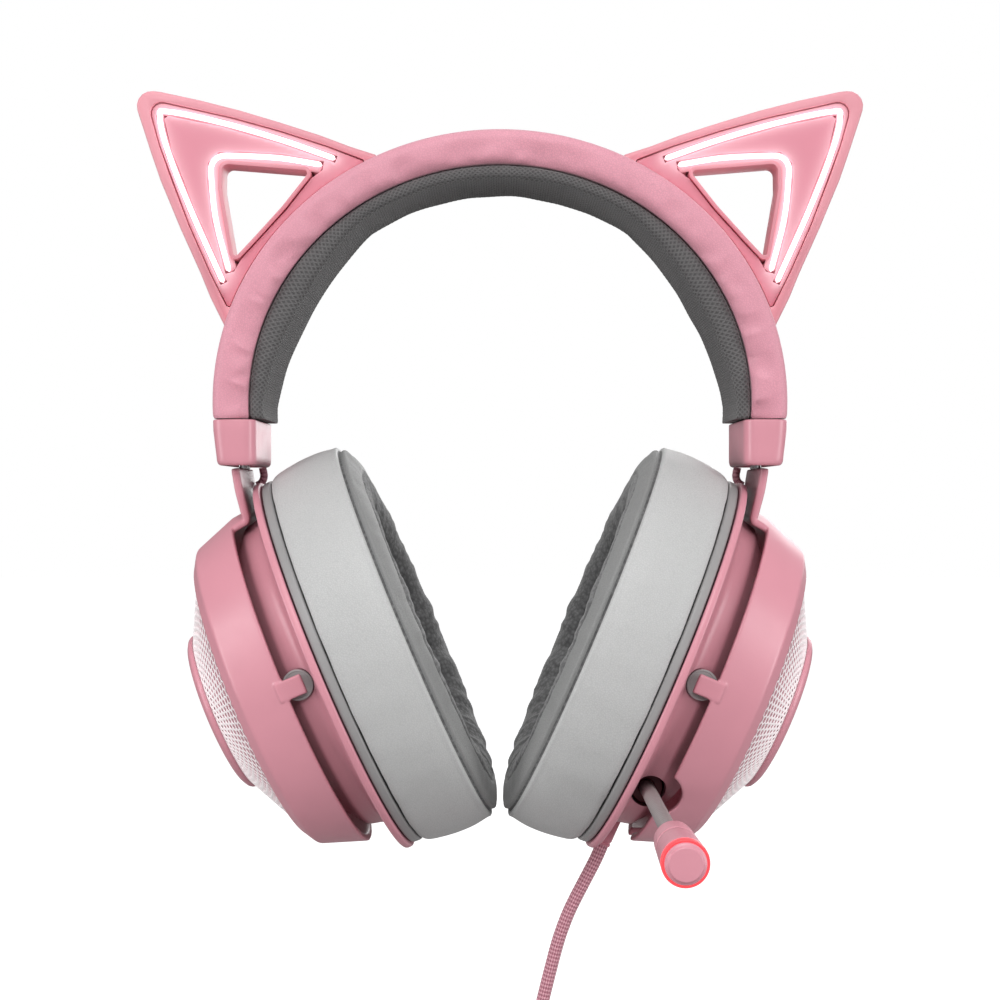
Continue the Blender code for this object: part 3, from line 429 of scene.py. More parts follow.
# The grille skin glows by emission: partly the grille's own lit glow, partly painted light on its face that
# lies in shade.
GRILLE = haloed("lit_grille", (0.98, 0.88, 0.90), 0.30, (0.30, 0.29, 0.29))
GRILLE_GLOW = glowing("grille_glow", (0.35, 0.16, 0.19), (1.0, 0.62, 0.70), 0.16)
STEEL = metal("steel", (0.62, 0.62, 0.63), 0.26)
BOARD = board("circuit_board")
BLACK = moulded("black_plastic", (0.022, 0.021, 0.023), 0.45, 0.00005)
BRAID = braided("pink_braid", (0.34, 0.085, 0.13), (0.86, 0.44, 0.52))
SCREEN = knitted("black_mesh", (0.012, 0.012, 0.013), (0.085, 0.085, 0.088), 0.0008, 0.00025)


# ---- mesh building

def shown(name, data, material, sharp):
    """An object in the scene, with smooth shading up to an angle."""
    item = bpy.data.objects.new(name, data)
    SCENE.collection.objects.link(item)
    data.materials.clear()
    data.materials.append(material)
    data.set_sharp_from_angle(angle=radians(sharp))
    return item


def shaped(name, verts, faces, material, sharp=38):
    """A shown mesh object, with outward faces and smooth shading up to an angle."""
    data = bpy.data.meshes.new(name)
    data.from_pydata([tuple(v) for v in verts], [], faces)
    tidied = bmesh.new()
    tidied.from_mesh(data)
    bmesh.ops.remove_doubles(tidied, verts=tidied.verts, dist=1e-7)
    bmesh.ops.recalc_face_normals(tidied, faces=tidied.faces)
    tidied.to_mesh(data)
    tidied.free()
    return shown(name, data, material, sharp)


def skin(name, rows, material, wrap_rows=False, wrap_columns=True, caps=False, sharp=38):
    """A surface through rows of points."""
    columns = len(rows[0])
    faces = []
    for i in range(len(rows) - (not wrap_rows)):
        for j in range(columns - (not wrap_columns)):
            near, far = i * columns, (i + 1) % len(rows) * columns
            step = (j + 1) % columns
            faces.append((near + j, near + step, far + step, far + j))
    if caps:
        last = (len(rows) - 1) * columns
        faces += [tuple(range(columns))[::-1], tuple(range(last, last + columns))]
    return shaped(name, [p for row in rows for p in row], faces, material, sharp=sharp)


def done(item, body, slot_name, *nodes):
    """Let a finished piece ride a body, and stand for CAD nodes."""
    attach(item, body)
    if nodes:
        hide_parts(*nodes)


def fillet(points, radius, closed=True, steps=4):
    """Round a path's corners."""
    count = len(points)
    rounded = []
    for i, point in enumerate(points):
        here = Vector(point)
        if not closed and i in (0, count - 1):
            rounded.append(here)
            continue
        before, after = Vector(points[i - 1]), Vector(points[(i + 1) % count])
        reach = min(radius, (before - here).length * 0.48, (after - here).length * 0.48)
        start = here + (before - here).normalized() * reach
        end = here + (after - here).normalized() * reach
        for step in range(steps + 1):
            t = step / steps
            rounded.append((1 - t) ** 2 * start + 2 * t * (1 - t) * here + t * t * end)
    return rounded


def smooth(points, steps):
    """Points on a smooth curve through the given ones (Catmull-Rom)."""
    route = [Vector(point) for point in points]
    route = [2 * route[0] - route[1], *route, 2 * route[-1] - route[-2]]
    curve = []
    for i in range(1, len(route) - 2):
        p0, p1, p2, p3 = route[i - 1:i + 3]
        for step in range(steps):
            t = step / steps
            curve.append(0.5 * (2 * p1 + (p2 - p0) * t + (2 * p0 - 5 * p1 + 4 * p2 - p3) * t ** 2
                                + (3 * p1 - p0 - 3 * p2 + p3) * t ** 3))
    return curve + [route[-2]]


def resampled(points, stops):
    """Points along a path at the lengths that stops gives for its whole length."""
    places = np.array([tuple(p) for p in points])
    lengths = np.concatenate(([0.0], np.cumsum(np.linalg.norm(np.diff(places, axis=0), axis=1))))
    wanted = stops(lengths[-1])
    columns = [np.interp(wanted, lengths, places[:, k]) for k in range(places.shape[1])]
    return [Vector(row) for row in np.stack(columns, axis=1)]


def even(points, spacing):
    """The same path with points a spacing apart."""
    return resampled(points, lambda total: np.linspace(0.0, total, max(2, round(total / spacing) + 1)))


def loop(points, count):
    """A closed path resampled to a number of even steps."""
    return resampled([*points, points[0]], lambda total: np.linspace(0.0, total, count, endpoint=False))


def headings(path):
    """The direction of a path at each of its points."""
    last = len(path) - 1
    return [(path[min(i + 1, last)] - path[max(i - 1, 0)]).normalized() for i in range(last + 1)]


def ease(t):
    t = min(1.0, max(0.0, t))
    return t * t * (3 - 2 * t)


def squircle(angle, power):
    """A point on a rounded square with half side 1."""
    c, s = cos(angle), sin(angle)
    reach = (abs(c) ** power + abs(s) ** power) ** (-1 / power)
    return c * reach, s * reach


def in_cup(side, u, n, y=0.0):
    x = CUP_CENTRE[0] - u * sin(CUP_TILT) - n * cos(CUP_TILT)
    return Vector((side * x, y, CUP_CENTRE[1] - u * cos(CUP_TILT) + n * sin(CUP_TILT)))


def on_oval(side, angle, r, n):
    return in_cup(side, r * cos(angle), n, r * sin(angle) * OVAL)


def revolved(name, outline, steps, place, material, closed, sharp=38):
    """A surface through copies of an outline at even angles."""
    rows = [[place(tau * i / steps, *point) for point in outline] for i in range(steps)]
    return skin(name, rows, material, wrap_rows=True, wrap_columns=closed, sharp=sharp)


def turned(name, side, profile, material, closed=True, radius=0.0004, steps=160, corner_steps=4):
    """A profile of (radius, n) turned about the cup's axis into an oval."""
    outline = fillet(profile, radius, closed, corner_steps)
    return revolved(name, outline, steps, lambda angle, r, n: on_oval(side, angle, r, n), material, closed)


def turned_along_y(name, centre, profile, material, radius=0.0003, steps=72, closed=False, sharp=38):
    """A profile of (radius, y) turned about a line along Y through an (x, z) centre."""
    outline = fillet(profile, radius, closed) if radius else profile
    x, z = centre
    return revolved(name, outline, steps, lambda angle, r, y: (x + r * cos(angle), y, z + r * sin(angle)),
                    material, closed, sharp)


def from_form(form, name, material, sharp):
    """A shown object from an open mesh, which is closed."""
    form.verts.index_update()
    verts = [v.co.copy() for v in form.verts]
    faces = [[v.index for v in f.verts] for f in form.faces]
    form.free()
    return shaped(name, verts, faces, material, sharp=sharp)


def rounded_block(name, low, high, radius, material, place=None, segments=4):
    """A box with rounded edges, in the row frame or a given one."""
    form = bmesh.new()
    bmesh.ops.create_cube(form, size=1.0)
    for vert in form.verts:
        vert.co = Vector([(a + b) / 2 + (b - a) * v for a, b, v in zip(low, high, vert.co)])
    bmesh.ops.bevel(form, geom=form.edges[:], offset=radius, segments=segments, profile=0.5, affect="EDGES")
    form.transform(place or Matrix())
    return from_form(form, name, material, 50)


def cup_matrix(side):
    """The cup plane's frame: local X is u, local Z is n, and local Y is across."""
    u = Vector((-side * sin(CUP_TILT), 0, -cos(CUP_TILT)))
    n = Vector((-side * cos(CUP_TILT), 0, sin(CUP_TILT)))
    turn = Matrix((u, n.cross(u), n)).transposed().to_4x4()
    return Matrix.Translation((side * CUP_CENTRE[0], 0, CUP_CENTRE[1])) @ turn


def applied(item):
    """Make an object's modifiers part of its mesh."""
    graph = bpy.context.evaluated_depsgraph_get()
    graph.update()
    data = bpy.data.meshes.new_from_object(item.evaluated_get(graph))
    item.modifiers.clear()
    item.data = data


def without(item, *cutters):
    """Cut solids out of an object, and drop them."""
    for cutter in cutters:
        change = item.modifiers.new("cut", "BOOLEAN")
        change.operation = "DIFFERENCE"
        change.solver = "EXACT"
        change.object = cutter
        applied(item)
        bpy.data.objects.remove(cutter)
    item.data.set_sharp_from_angle(angle=radians(38))


def merged(name, items, voxel, rounds, material):
    """One moulded body from several overlapping ones, with small fillets where they meet."""
    base = items[0]
    with bpy.context.temp_override(active_object=base, selected_editable_objects=items, object=base):
        bpy.ops.object.join()
    base.name = name
    remesh = base.modifiers.new("remesh", "REMESH")
    remesh.mode = "VOXEL"
    remesh.voxel_size = voxel
    remesh.use_smooth_shade = True
    relax = base.modifiers.new("relax", "SMOOTH")
    relax.factor = 0.5
    relax.iterations = rounds
    applied(base)
    base.data.materials.clear()
    base.data.materials.append(material)
    return base


def node_form(node, angle):
    """An open copy of a CAD node's mesh in the row frame, with its flat facets joined."""
    source = bpy.data.objects[node]
    form = bmesh.new()
    form.from_mesh(source.data)
    form.transform(source.matrix_world)
    bmesh.ops.remove_doubles(form, verts=form.verts, dist=1e-6)
    bmesh.ops.dissolve_limit(form, angle_limit=radians(angle), verts=form.verts[:], edges=form.edges[:])
    return form


def creases(form, angle):
    return [e for e in form.edges if len(e.link_faces) == 2 and e.calc_face_angle(0.0) > radians(angle)]


def soften(form, edges, width, segments):
    bmesh.ops.bevel(form, geom=edges, offset=width, segments=segments, profile=0.5, affect="EDGES",
                    clamp_overlap=True)


def softened(node, material, width, segments=2):
    """A copy of a flat CAD node with its edges rounded."""
    form = node_form(node, 2)
    soften(form, creases(form, 50), width, segments)
    data = bpy.data.meshes.new(node + "_finish")
    form.to_mesh(data)
    form.free()
    return shown(node + "_finish", data, material, 30)


def mapped(item, columns, place):
    """Give a grid that wraps across its columns a UV map; place gives a row and column its map point."""
    layer = item.data.uv_layers.new(name="metres")
    for face in item.data.polygons:
        spots = [divmod(item.data.loops[k].vertex_index, columns) for k in face.loop_indices]
        across = [j for _, j in spots]
        wraps = max(across) - min(across) > columns / 2
        for corner, (i, j) in zip(face.loop_indices, spots):
            layer.data[corner].uv = place(i, columns if wraps and j == 0 else j)


def inflated(item, voxel, cap, held):
    """Move a piece's points by what a copy of it gains when it swells as pressurised cloth.

    held(point) says which points stay where they are, such as a base that is glued down.
    """
    trial = bpy.data.objects.new("trial", item.data.copy())
    SCENE.collection.objects.link(trial)
    remesh = trial.modifiers.new("remesh", "REMESH")
    remesh.mode = "VOXEL"
    remesh.voxel_size = voxel
    applied(trial)
    rest = [v.co.copy() for v in trial.data.vertices]
    pinned = trial.vertex_groups.new(name="held")
    pinned.add([i for i, point in enumerate(rest) if held(point)], 1.0, "REPLACE")
    cloth = trial.modifiers.new("cloth", "CLOTH")
    cloth.settings.effector_weights.gravity = 0.0
    for key, value in CLOTH.items():
        setattr(cloth.settings, key, value)
    cloth.point_cache.frame_start = 1
    cloth.point_cache.frame_end = CLOTH_FRAMES
    for number in range(1, CLOTH_FRAMES + 1):
        SCENE.frame_set(number)
    graph = bpy.context.evaluated_depsgraph_get()
    swollen = [v.co.copy() for v in trial.evaluated_get(graph).data.vertices]
    SCENE.frame_set(1)
    bpy.data.objects.remove(trial)
    lookup = kdtree.KDTree(len(rest))
    for i, point in enumerate(rest):
        lookup.insert(point, i)
    lookup.balance()
    for vert in item.data.vertices:
        total, weight = Vector((0, 0, 0)), 0.0
        for _, i, distance in lookup.find_n(vert.co, 8):
            share = 1.0 / (distance + voxel * 0.3)
            total += (swollen[i] - rest[i]) * share
            weight += share
        move = total / weight
        if move.length > cap:
            move *= cap / move.length
        vert.co += move
    item.data.update()


# ---- cable

def tube(name, path, radius, material, around=32, relief=0.0):
    """A closed tube along a path, with braid diamonds raised on it."""
    tangents = headings(path)
    across = tangents[0].orthogonal().normalized()
    rows, run = [], 0.0
    for i, (centre, tangent) in enumerate(zip(path, tangents)):
        if i:
            across = (across - tangent * across.dot(tangent)).normalized()
            run += (centre - path[i - 1]).length
        other = tangent.cross(across)
        row = []
        for j in range(around):
            angle = tau * j / around
            first, second = (sin(angle * BRAID_YARNS + sign * run * tau / BRAID_PITCH) for sign in (1, -1))
            reach = radius - relief + relief * (0.5 + 0.5 * first * second)
            row.append(centre + (across * cos(angle) + other * sin(angle)) * reach)
        rows.append(row)
    item = skin(name, rows, material, caps=True, sharp=80)
    spacing = run / (len(path) - 1)
    mapped(item, around, lambda i, j: (j / around, i * spacing))
    return item


def coil_path():
    """The coil's turns: each pass through the crossing zone moves to the next slot of the bundle."""
    points = []
    for degree in range(COIL_FIRST, COIL_LAST + 1, COIL_STEP):
        turn, phase = divmod(degree - COIL_CROSSING, 360)
        old = COIL_SLOTS[turn - 1] if turn else COIL_ENTRY
        t = ease(phase / (COIL_CROSSING_SPAN if turn else COIL_CROSSING))
        row, column = (a + (b - a) * t for a, b in zip(old, COIL_SLOTS[turn]))
        if degree > COIL_LAST - COIL_LEAVING:
            t = (degree - COIL_LAST + COIL_LEAVING) / COIL_LEAVING
            column *= 1 - 0.5 * t * t
            row += 0.35 * t * t
        r = COIL_MEAN_RADIUS + row * COIL_PITCH
        x, z = COIL_CENTRE[0] + r * cos(radians(degree)), COIL_CENTRE[1] + r * sin(radians(degree))
        points.append(Vector((x, column * COIL_PITCH, z)))
    return points


def build_plug():
    place = Matrix.Translation((PLUG_X, 0.0, PLUG_TOP_Z))
    half_x, half_y, half_z = PLUG_HALF
    body = rounded_block("plug_grip", (-half_x, -half_y, -2 * half_z), (half_x, half_y, 0.0),
                         0.0016, PINK, place, 5)
    ribs = []
    for face in (-1, 1):
        for i in range(6):
            y, z = face * half_y, -0.008 - i * 0.0024
            ribs.append(rounded_block("rib", (-0.0050, y - 0.00035, z - 0.0007),
                                      (0.0050, y + 0.00035, z + 0.0007), 0.0002, PINK, place, 2))
    without(body, *ribs)
    done(body, "right_cup", "pink_plastic", "plug_body")
    shell = softened("plug_shell", STEEL, 0.00012)
    done(shell, "right_cup", "steel", "plug_shell")
    tongue = rounded_block("plug_tongue", (PLUG_X - 0.0052, -0.0014, PLUG_TOP_Z - 0.0473),
                           (PLUG_X + 0.0052, 0.0001, PLUG_TOP_Z - 0.0355), 0.0002, BLACK)
    done(tongue, "right_cup", "black_plastic")
    return body, shell, tongue


def build_tie():
    turn = Matrix.Rotation(-TIE_ANGLE, 4, "Y")
    place = Matrix.Translation((COIL_CENTRE[0], 0.0, COIL_CENTRE[1])) @ turn
    outline = [squircle(tau * i / 96, 4.5) for i in range(96)]
    rows = []
    for width, reach in ((-0.0030, 0.0066), (-0.0029, 0.0071), (-0.0024, 0.0073), (0.0024, 0.0073),
                         (0.0029, 0.0071), (0.0030, 0.0066), (0.0026, 0.0063), (-0.0026, 0.0063)):
        rows.append([place @ Vector((COIL_MEAN_RADIUS + a * reach, b * reach, width)) for a, b in outline])
    tie = skin("cable_strap", rows, BLACK, wrap_rows=True)
    done(tie, "right_cup", "black_plastic", "cable_tie")
    return tie


def build_relief():
    """The tapered sleeve where the cable leaves the cup, with one shallow groove."""
    top, bottom = RELIEF_U
    profile = [(0.0002, top)]
    for i in range(49):
        groove = 0.00022 if i in (42, 43, 44) else 0.0
        profile.append((0.0024 - 0.00024 * i / 48 - groove, top + (bottom - top) * i / 48))
    profile += [(0.0016, bottom), (0.0016, 0.0470)]
    rows = []
    for i in range(64):
        a, b = squircle(tau * i / 64, 4.0)
        rows.append([in_cup(1, u, RELIEF_N + a * r * 0.92, b * r * 0.92) for r, u in profile])
    sleeve = skin("cable_sleeve", rows, PINK_RELIEF, wrap_rows=True, wrap_columns=False)
    done(sleeve, "right_cup", "pink_plastic", "strain_relief")
    return sleeve


def build_cable():
    lead = [in_cup(1, 0.0490, RELIEF_N)] + [Vector((x, 0.0, z)) for x, z in CABLE_ROUTE]
    tail = [Vector((COIL_CENTRE[0] + x, 0.0, COIL_CENTRE[1] + z))
            for x, z in (COIL_LEAVES, *TAIL_ROUTE, PLUG_SOCKET)]
    tail[0].y = -0.0009
    path = even(smooth([*lead, *coil_path(), *tail], 8), 0.00036)
    cable = tube("cable", path, CABLE_RADIUS, BRAID, relief=BRAID_RELIEF)
    done(cable, "right_cup", "pink_braid", "main_cable", "cable_coil", "cable_tail")
    pieces = [*build_plug(), build_tie(), build_relief()]
    route = [tuple(p) for p in path[::3]] + [tuple(path[-1])]
    tuple(in_cup(1, RELIEF_U[1], RELIEF_N))


# ---- headband

def rounded_section(half_a, half_b, radius, count):
    corners = [(-half_a, -half_b), (half_a, -half_b), (half_a, half_b), (-half_a, half_b)]
    return loop(fillet(corners, radius, steps=10), count)


def band_place(inner, outer, t, v, bulge=0.0):
    """A point of the band's plane: t runs from its left end to its right end, v from inside to outside."""
    share = 0.5 + 0.5 * v
    a = inner[0] + (outer[0] - inner[0]) * share
    b = inner[1] + (outer[1] - inner[1]) * share
    low = asin((BAND_END_Z - BAND_CENTRE_Z) / b)
    angle = (pi - low) + (2 * low - pi) * t
    rise = min(angle, pi - angle)
    inward = bulge * sin(pi * rise / CUSHION_BULGE_SPAN) if 0 < rise < CUSHION_BULGE_SPAN else 0.0
    inward *= 1 - share
    return (a - inward) * cos(angle), BAND_CENTRE_Z + (b - inward) * sin(angle)


def band_grid(inner, outer, half_width, section, steps, bulge=0.0, tuck=0.06):
    """Rows of points along the band; the section's first number runs across its thickness."""
    rows = []
    for i in range(steps + 1):
        t = i / steps
        edge = min(t, 1 - t) * COVER_ARC / END_ROUNDING
        shrink = 1 - tuck * (1 - sqrt(1 - (1 - min(1.0, edge)) ** 2))
        row = []
        for v, y in section:
            x, z = band_place(inner, outer, t, v * shrink, bulge)
            row.append((x, y * (1 - (1 - shrink) * 0.3), z))
        rows.append(row)
    return rows


def build_cover():
    half = (COVER_OUTER[0] - COVER_INNER[0]) / 2
    section = []
    for a, b in rounded_section(half, BAND_HALF_WIDTH, 0.0030, 120):
        v = a / half
        side = max(0.0, abs(b) / BAND_HALF_WIDTH - 0.80) / 0.20
        section.append((v, b * (1 + 0.016 * side * (1 - v * v))))
    steps = COVER_STEPS
    rows = band_grid(COVER_INNER, COVER_OUTER, BAND_HALF_WIDTH, section, steps)
    cover = skin("headband_padding", rows, LEATHERETTE, caps=True, sharp=60)
    inflated(cover, 0.0042, 0.0007, lambda p: abs(p.y) < 0.0120 or p.z < BAND_END_Z + 0.006)
    count = len(section)
    for k, vert in enumerate(cover.data.vertices):
        i, j = divmod(k, count)
        v, y = section[j]
        along = i / steps * COVER_ARC
        flank = ease((abs(y) / BAND_HALF_WIDTH - 0.82) / 0.15)
        inner = ease((0.75 - v) / 1.5)
        low = 0.55 + 0.45 * ease((abs(i / steps - 0.5) - 0.2) / 0.2)
        wave = noise.noise(Vector((along * 120, 3.7 if y < 0 else 9.1, v * 0.35)))
        fold = noise.noise(Vector((along * 260, 7.7 if y < 0 else 1.3, v * 0.8)))
        dent = 0.00340 * max(0.0, wave) * inner + 0.00130 * max(0.0, fold) * inner * inner
        vert.co.y -= (1 if y > 0 else -1) * dent * flank * low * 1.25
    cover.data.update()
    done(cover, "headband", "pink_leatherette", "headband_cover", "headband_spring")


def build_cushion():
    outer = (COVER_INNER[0] - GAP, COVER_INNER[1] - GAP)
    half = (outer[0] - CUSHION_INNER[0]) / 2
    section = []
    for a, b in rounded_section(half, CUSHION_HALF_WIDTH, 0.0017, 190):
        section.append((a / half, b))
    steps = CUSHION_STEPS
    rows = band_grid(CUSHION_INNER, outer, CUSHION_HALF_WIDTH, section, steps, CUSHION_BULGE, 0.10)
    cushion = skin("headband_cushion_pad", rows, CUSHION, caps=True, sharp=70)
    count = len(section)
    around = [0.0]
    for j in range(count):
        first, second = section[j], section[(j + 1) % count]
        around.append(around[-1] + hypot((first[0] - second[0]) * half, first[1] - second[1]))
    arc = CUSHION_ARC / steps
    mapped(cushion, count, lambda i, j: (i * arc, around[j]))
    inflated(cushion, 0.0036, 0.0006, lambda p: abs(p.y) > 0.0150 or p.z < BAND_END_Z + 0.005)
    normals = [v.normal.copy() for v in cushion.data.vertices]
    for k, vert in enumerate(cushion.data.vertices):
        i, j = divmod(k, count)
        along, across = i * arc, around[j]
        ridge = max(sin((along + sign * across) * tau / KNIT_PITCH) for sign in (1, -1))
        wave = noise.noise(Vector((along * 120, across * 60, 2.2)))
        under = ease(-section[j][0] * 0.5 + 0.5)
        edge = min(1.0, min(i, steps - i) / 6)
        vert.co += normals[k] * (0.00006 * ridge - 0.00006 + 0.00034 * wave * under) * edge
    cushion.data.update()
    done(cushion, "headband", "grey_fabric", "headband_cushion")


def build_collar(label, side):
    low, high = COLLAR_X
    rows = []
    bottom, top = COLLAR_Z
    levels = ((top - 0.0022, 1.2), (top - 0.00002, 1.2), (top, 0.8), (top, 0.25), (top - 0.0002, 0.04),
              (top - 0.0005, 0.0), (-0.0660, 0.0), (-0.0695, 0.0), (-0.0725, 0.0), (-0.0738, 0.04),
              (-0.0744, 0.22), (-0.0748, 0.50), (bottom, 0.95), (bottom, 1.6), (bottom + 0.0008, 1.75),
              (bottom + 0.0030, 1.8))
    for z, inset_mm in levels:
        inset = inset_mm * 0.001
        taper = 0.0010 * ease((-0.0640 - z) / 0.0110)
        half = (high - taper - low) / 2 - inset
        centre = (high - taper + low) / 2
        outline = rounded_section(half, BAND_HALF_WIDTH - inset, max(0.0008, 0.0040 - inset), 120)
        rows.append([(side * (centre + x), y, z) for x, y in outline])
    collar = skin(label + "_collar_sleeve", rows, PINK, caps=True, sharp=50)
    half_y = STEM_HALF_WIDTH + GAP
    room = rounded_block("room", (side * STEM_X - 0.0010, -half_y, -0.0800),
                         (side * STEM_X + 0.0010, half_y, -0.0655), 0.0003, BLACK, segments=1)
    without(collar, room)
    done(collar, "headband", "pink_plastic", label + "_collar")


# ---- ears

def corner_arc(before, corner, after, radius, steps=5):
    """Points of the arc that rounds a corner between its two neighbours."""
    here = Vector(corner)
    back, ahead = (Vector(before) - here).normalized(), (Vector(after) - here).normalized()
    half = back.angle(ahead) / 2
    middle = here + (back + ahead).normalized() * radius / sin(half)
    start = here + back * radius / tan(half) - middle
    end = here + ahead * radius / tan(half) - middle
    return [middle + start.slerp(end, i / steps) * radius for i in range(steps + 1)]


def set_halo(item, values):
    """Tell the lit materials how near each point is to a light guide."""
    item.data.attributes.new("halo", "FLOAT", "POINT").data.foreach_set("value", values)


def on_outline(point):
    x, z = abs(point.x), point.z
    tip = corner_arc(EAR_TOP_EDGE[-1], EAR_TIP, EAR_SIDE_EDGE[0], EAR_TIP_RADIUS)
    outline = [*EAR_TOP_EDGE, *tip, *EAR_SIDE_EDGE]
    for (x0, z0), (x1, z1) in zip(outline, outline[1:]):
        dx, dz = x1 - x0, z1 - z0
        t = min(1.0, max(0.0, ((x - x0) * dx + (z - z0) * dz) / (dx * dx + dz * dz)))
        if hypot(x - x0 - t * dx, z - z0 - t * dz) < 0.0004:
            return True
    return False


def build_ear_shell(label):
    """The ear's case: broad round edges along its outline, and fine ones elsewhere."""
    node = label + "_ear_shell"
    form = node_form(node, 1)
    rims = [edge for edge in creases(form, 60)
            if all(abs(abs(v.co.y) - 0.0050) < 1e-5 and on_outline(v.co) for v in edge.verts)]
    soften(form, rims, 0.0013, 5)
    rest = [edge for edge in creases(form, 60) if all(abs(v.co.y) > 0.0045 for v in edge.verts)]
    soften(form, rest, 0.00022, 2)
    shell = from_form(form, label + "_ear_case", PINK_EAR, 35)
    done(shell, "headband", "pink_plastic", node)


def light_bar(name, side, route, width, middle_y, half_depth, material, shift=0.0):
    """A rounded light guide along a route on the ear's front, tapering away at both ends."""
    centre = even(smooth(route, 8), 0.0005)
    rows = []
    for i, (point, direction) in enumerate(zip(centre, headings(centre))):
        normal = Vector((-direction.y, direction.x))
        edge = min(1.0, min(i, len(centre) - 1 - i) * 0.0005 / 0.0012)
        taper = sqrt(max(0.0, 1 - (1 - edge) ** 2)) * 0.98 + 0.02
        row = []
        for k in range(20):
            across, out = squircle(tau * k / 20, 2.6)
            reach = across * width / 2 * taper + shift
            y = middle_y - out * half_depth * (0.35 + 0.65 * taper)
            row.append((side * (point.x + normal.x * reach), y, point.y + normal.y * reach))
        rows.append(row)
    return skin(name, rows, material, caps=True, sharp=70)


def build_panel(label, side):
    """The ear's face plate, finely divided, with a halo value for its painted glow that fades away from the
    light guides.
    """
    panel = softened(label + "_ear_panel", PANEL, 0.00018)
    form = bmesh.new()
    form.from_mesh(panel.data)
    for axis, low, high in ((0, 0.036, 0.094), (2, -0.036, 0.022)):
        for step in range(round((high - low) / HALO_GRID)):
            place, normal = [0.0, 0.0, 0.0], [0.0, 0.0, 0.0]
            place[axis] = (low + step * HALO_GRID) * (side if axis == 0 else 1)
            normal[axis] = 1.0
            bmesh.ops.bisect_plane(form, geom=form.verts[:] + form.edges[:] + form.faces[:],
                                   plane_co=place, plane_no=normal)
    form.to_mesh(panel.data)
    form.free()
    guides = [np.array([(side * p.x, p.y) for p in even(smooth(route, 8), 0.0004)])
              for route in (OUTER_STRIP, INNER_STRIP)]
    values = []
    for vert in panel.data.vertices:
        here = np.array((vert.co.x, vert.co.z))
        glow = 0.0
        for guide in guides:
            gap = max(0.0, float(np.linalg.norm(guide - here, axis=1).min()) - 0.0009)
            glow += np.exp(-gap / HALO_REACH)
        values.append(min(1.0, glow))
    set_halo(panel, values)
    panel.data.set_sharp_from_angle(angle=radians(35))
    done(panel, "headband", "pink_plastic", label + "_ear_panel")


def build_ear(label, side):
    build_ear_shell(label)
    build_panel(label, side)
    for name, route, width, shift in (("outer", OUTER_STRIP, 0.00190, 0.0),
                                      ("inner", INNER_STRIP, 0.00315, -0.00045)):
        bar = light_bar(f"{label}_ear_glow_{name}", side, route, 0.00135, -0.0039, 0.0012, LIGHT)
        done(bar, "headband", "light_guide", f"{label}_ear_light_{name}")
        base = light_bar(f"{label}_ear_base_{name}", side, route, width, -0.0031, 0.0010, GLOW_BASE, shift)
        done(base, "headband", "light_guide")


# ---- yokes

def along_y_place(side, u, n):
    spot = in_cup(side, u, n)
    return spot.x, spot.z


def drill(name, centre, radius, depth_y):
    """A cutter that comes in from the front as far as depth_y."""
    profile = ((0.0001, -0.050), (radius, -0.050), (radius, depth_y), (0.0001, depth_y))
    return turned_along_y(name, centre, profile, PINK, 0, 64)


def build_neck(label, side):
    route = [Vector((0.0693, -0.0757)), Vector((0.0683, -0.0815)), Vector((0.0672, -0.0862))]
    for u, n in ((-0.0460, -0.0063), (-0.0461, -0.0082), (-0.0459, -0.0104), (-0.0449, -0.0132)):
        point = in_cup(1, u, n)
        route.append(Vector((point.x, point.z)))
    thickness = (0.0022, 0.0022, 0.0022, 0.0021, 0.0019, 0.0017, 0.0017)
    curve = (0.0, 0.0, 0.3, 0.7, 0.9, 1.0, 1.0)
    points = smooth(route, 6)
    half_depth = RING_EDGE * OVAL
    down = Vector((-sin(CUP_TILT), -cos(CUP_TILT)))
    outline = rounded_section(1.0, NECK_HALF_WIDTH * 1000, 0.8, 90)
    rows = []
    for i, (point, direction) in enumerate(zip(points, headings(points))):
        at = min(i / 6, len(thickness) - 1.0001)
        k, t = int(at), at - int(at)
        thick = thickness[k] * (1 - t) + thickness[k + 1] * t
        follow = curve[k] * (1 - t) + curve[k + 1] * t
        normal = Vector((-direction.y, direction.x)) * thick / 2
        row = []
        for a, b in outline:
            y = b / 1000
            sag = follow * RING_EDGE * (1 - sqrt(1 - (y / half_depth) ** 2))
            spot = point + down * sag + normal * a
            row.append((side * spot.x, y, spot.y))
        rows.append(row)
    return skin(label + "_neck", rows, PINK, caps=True)


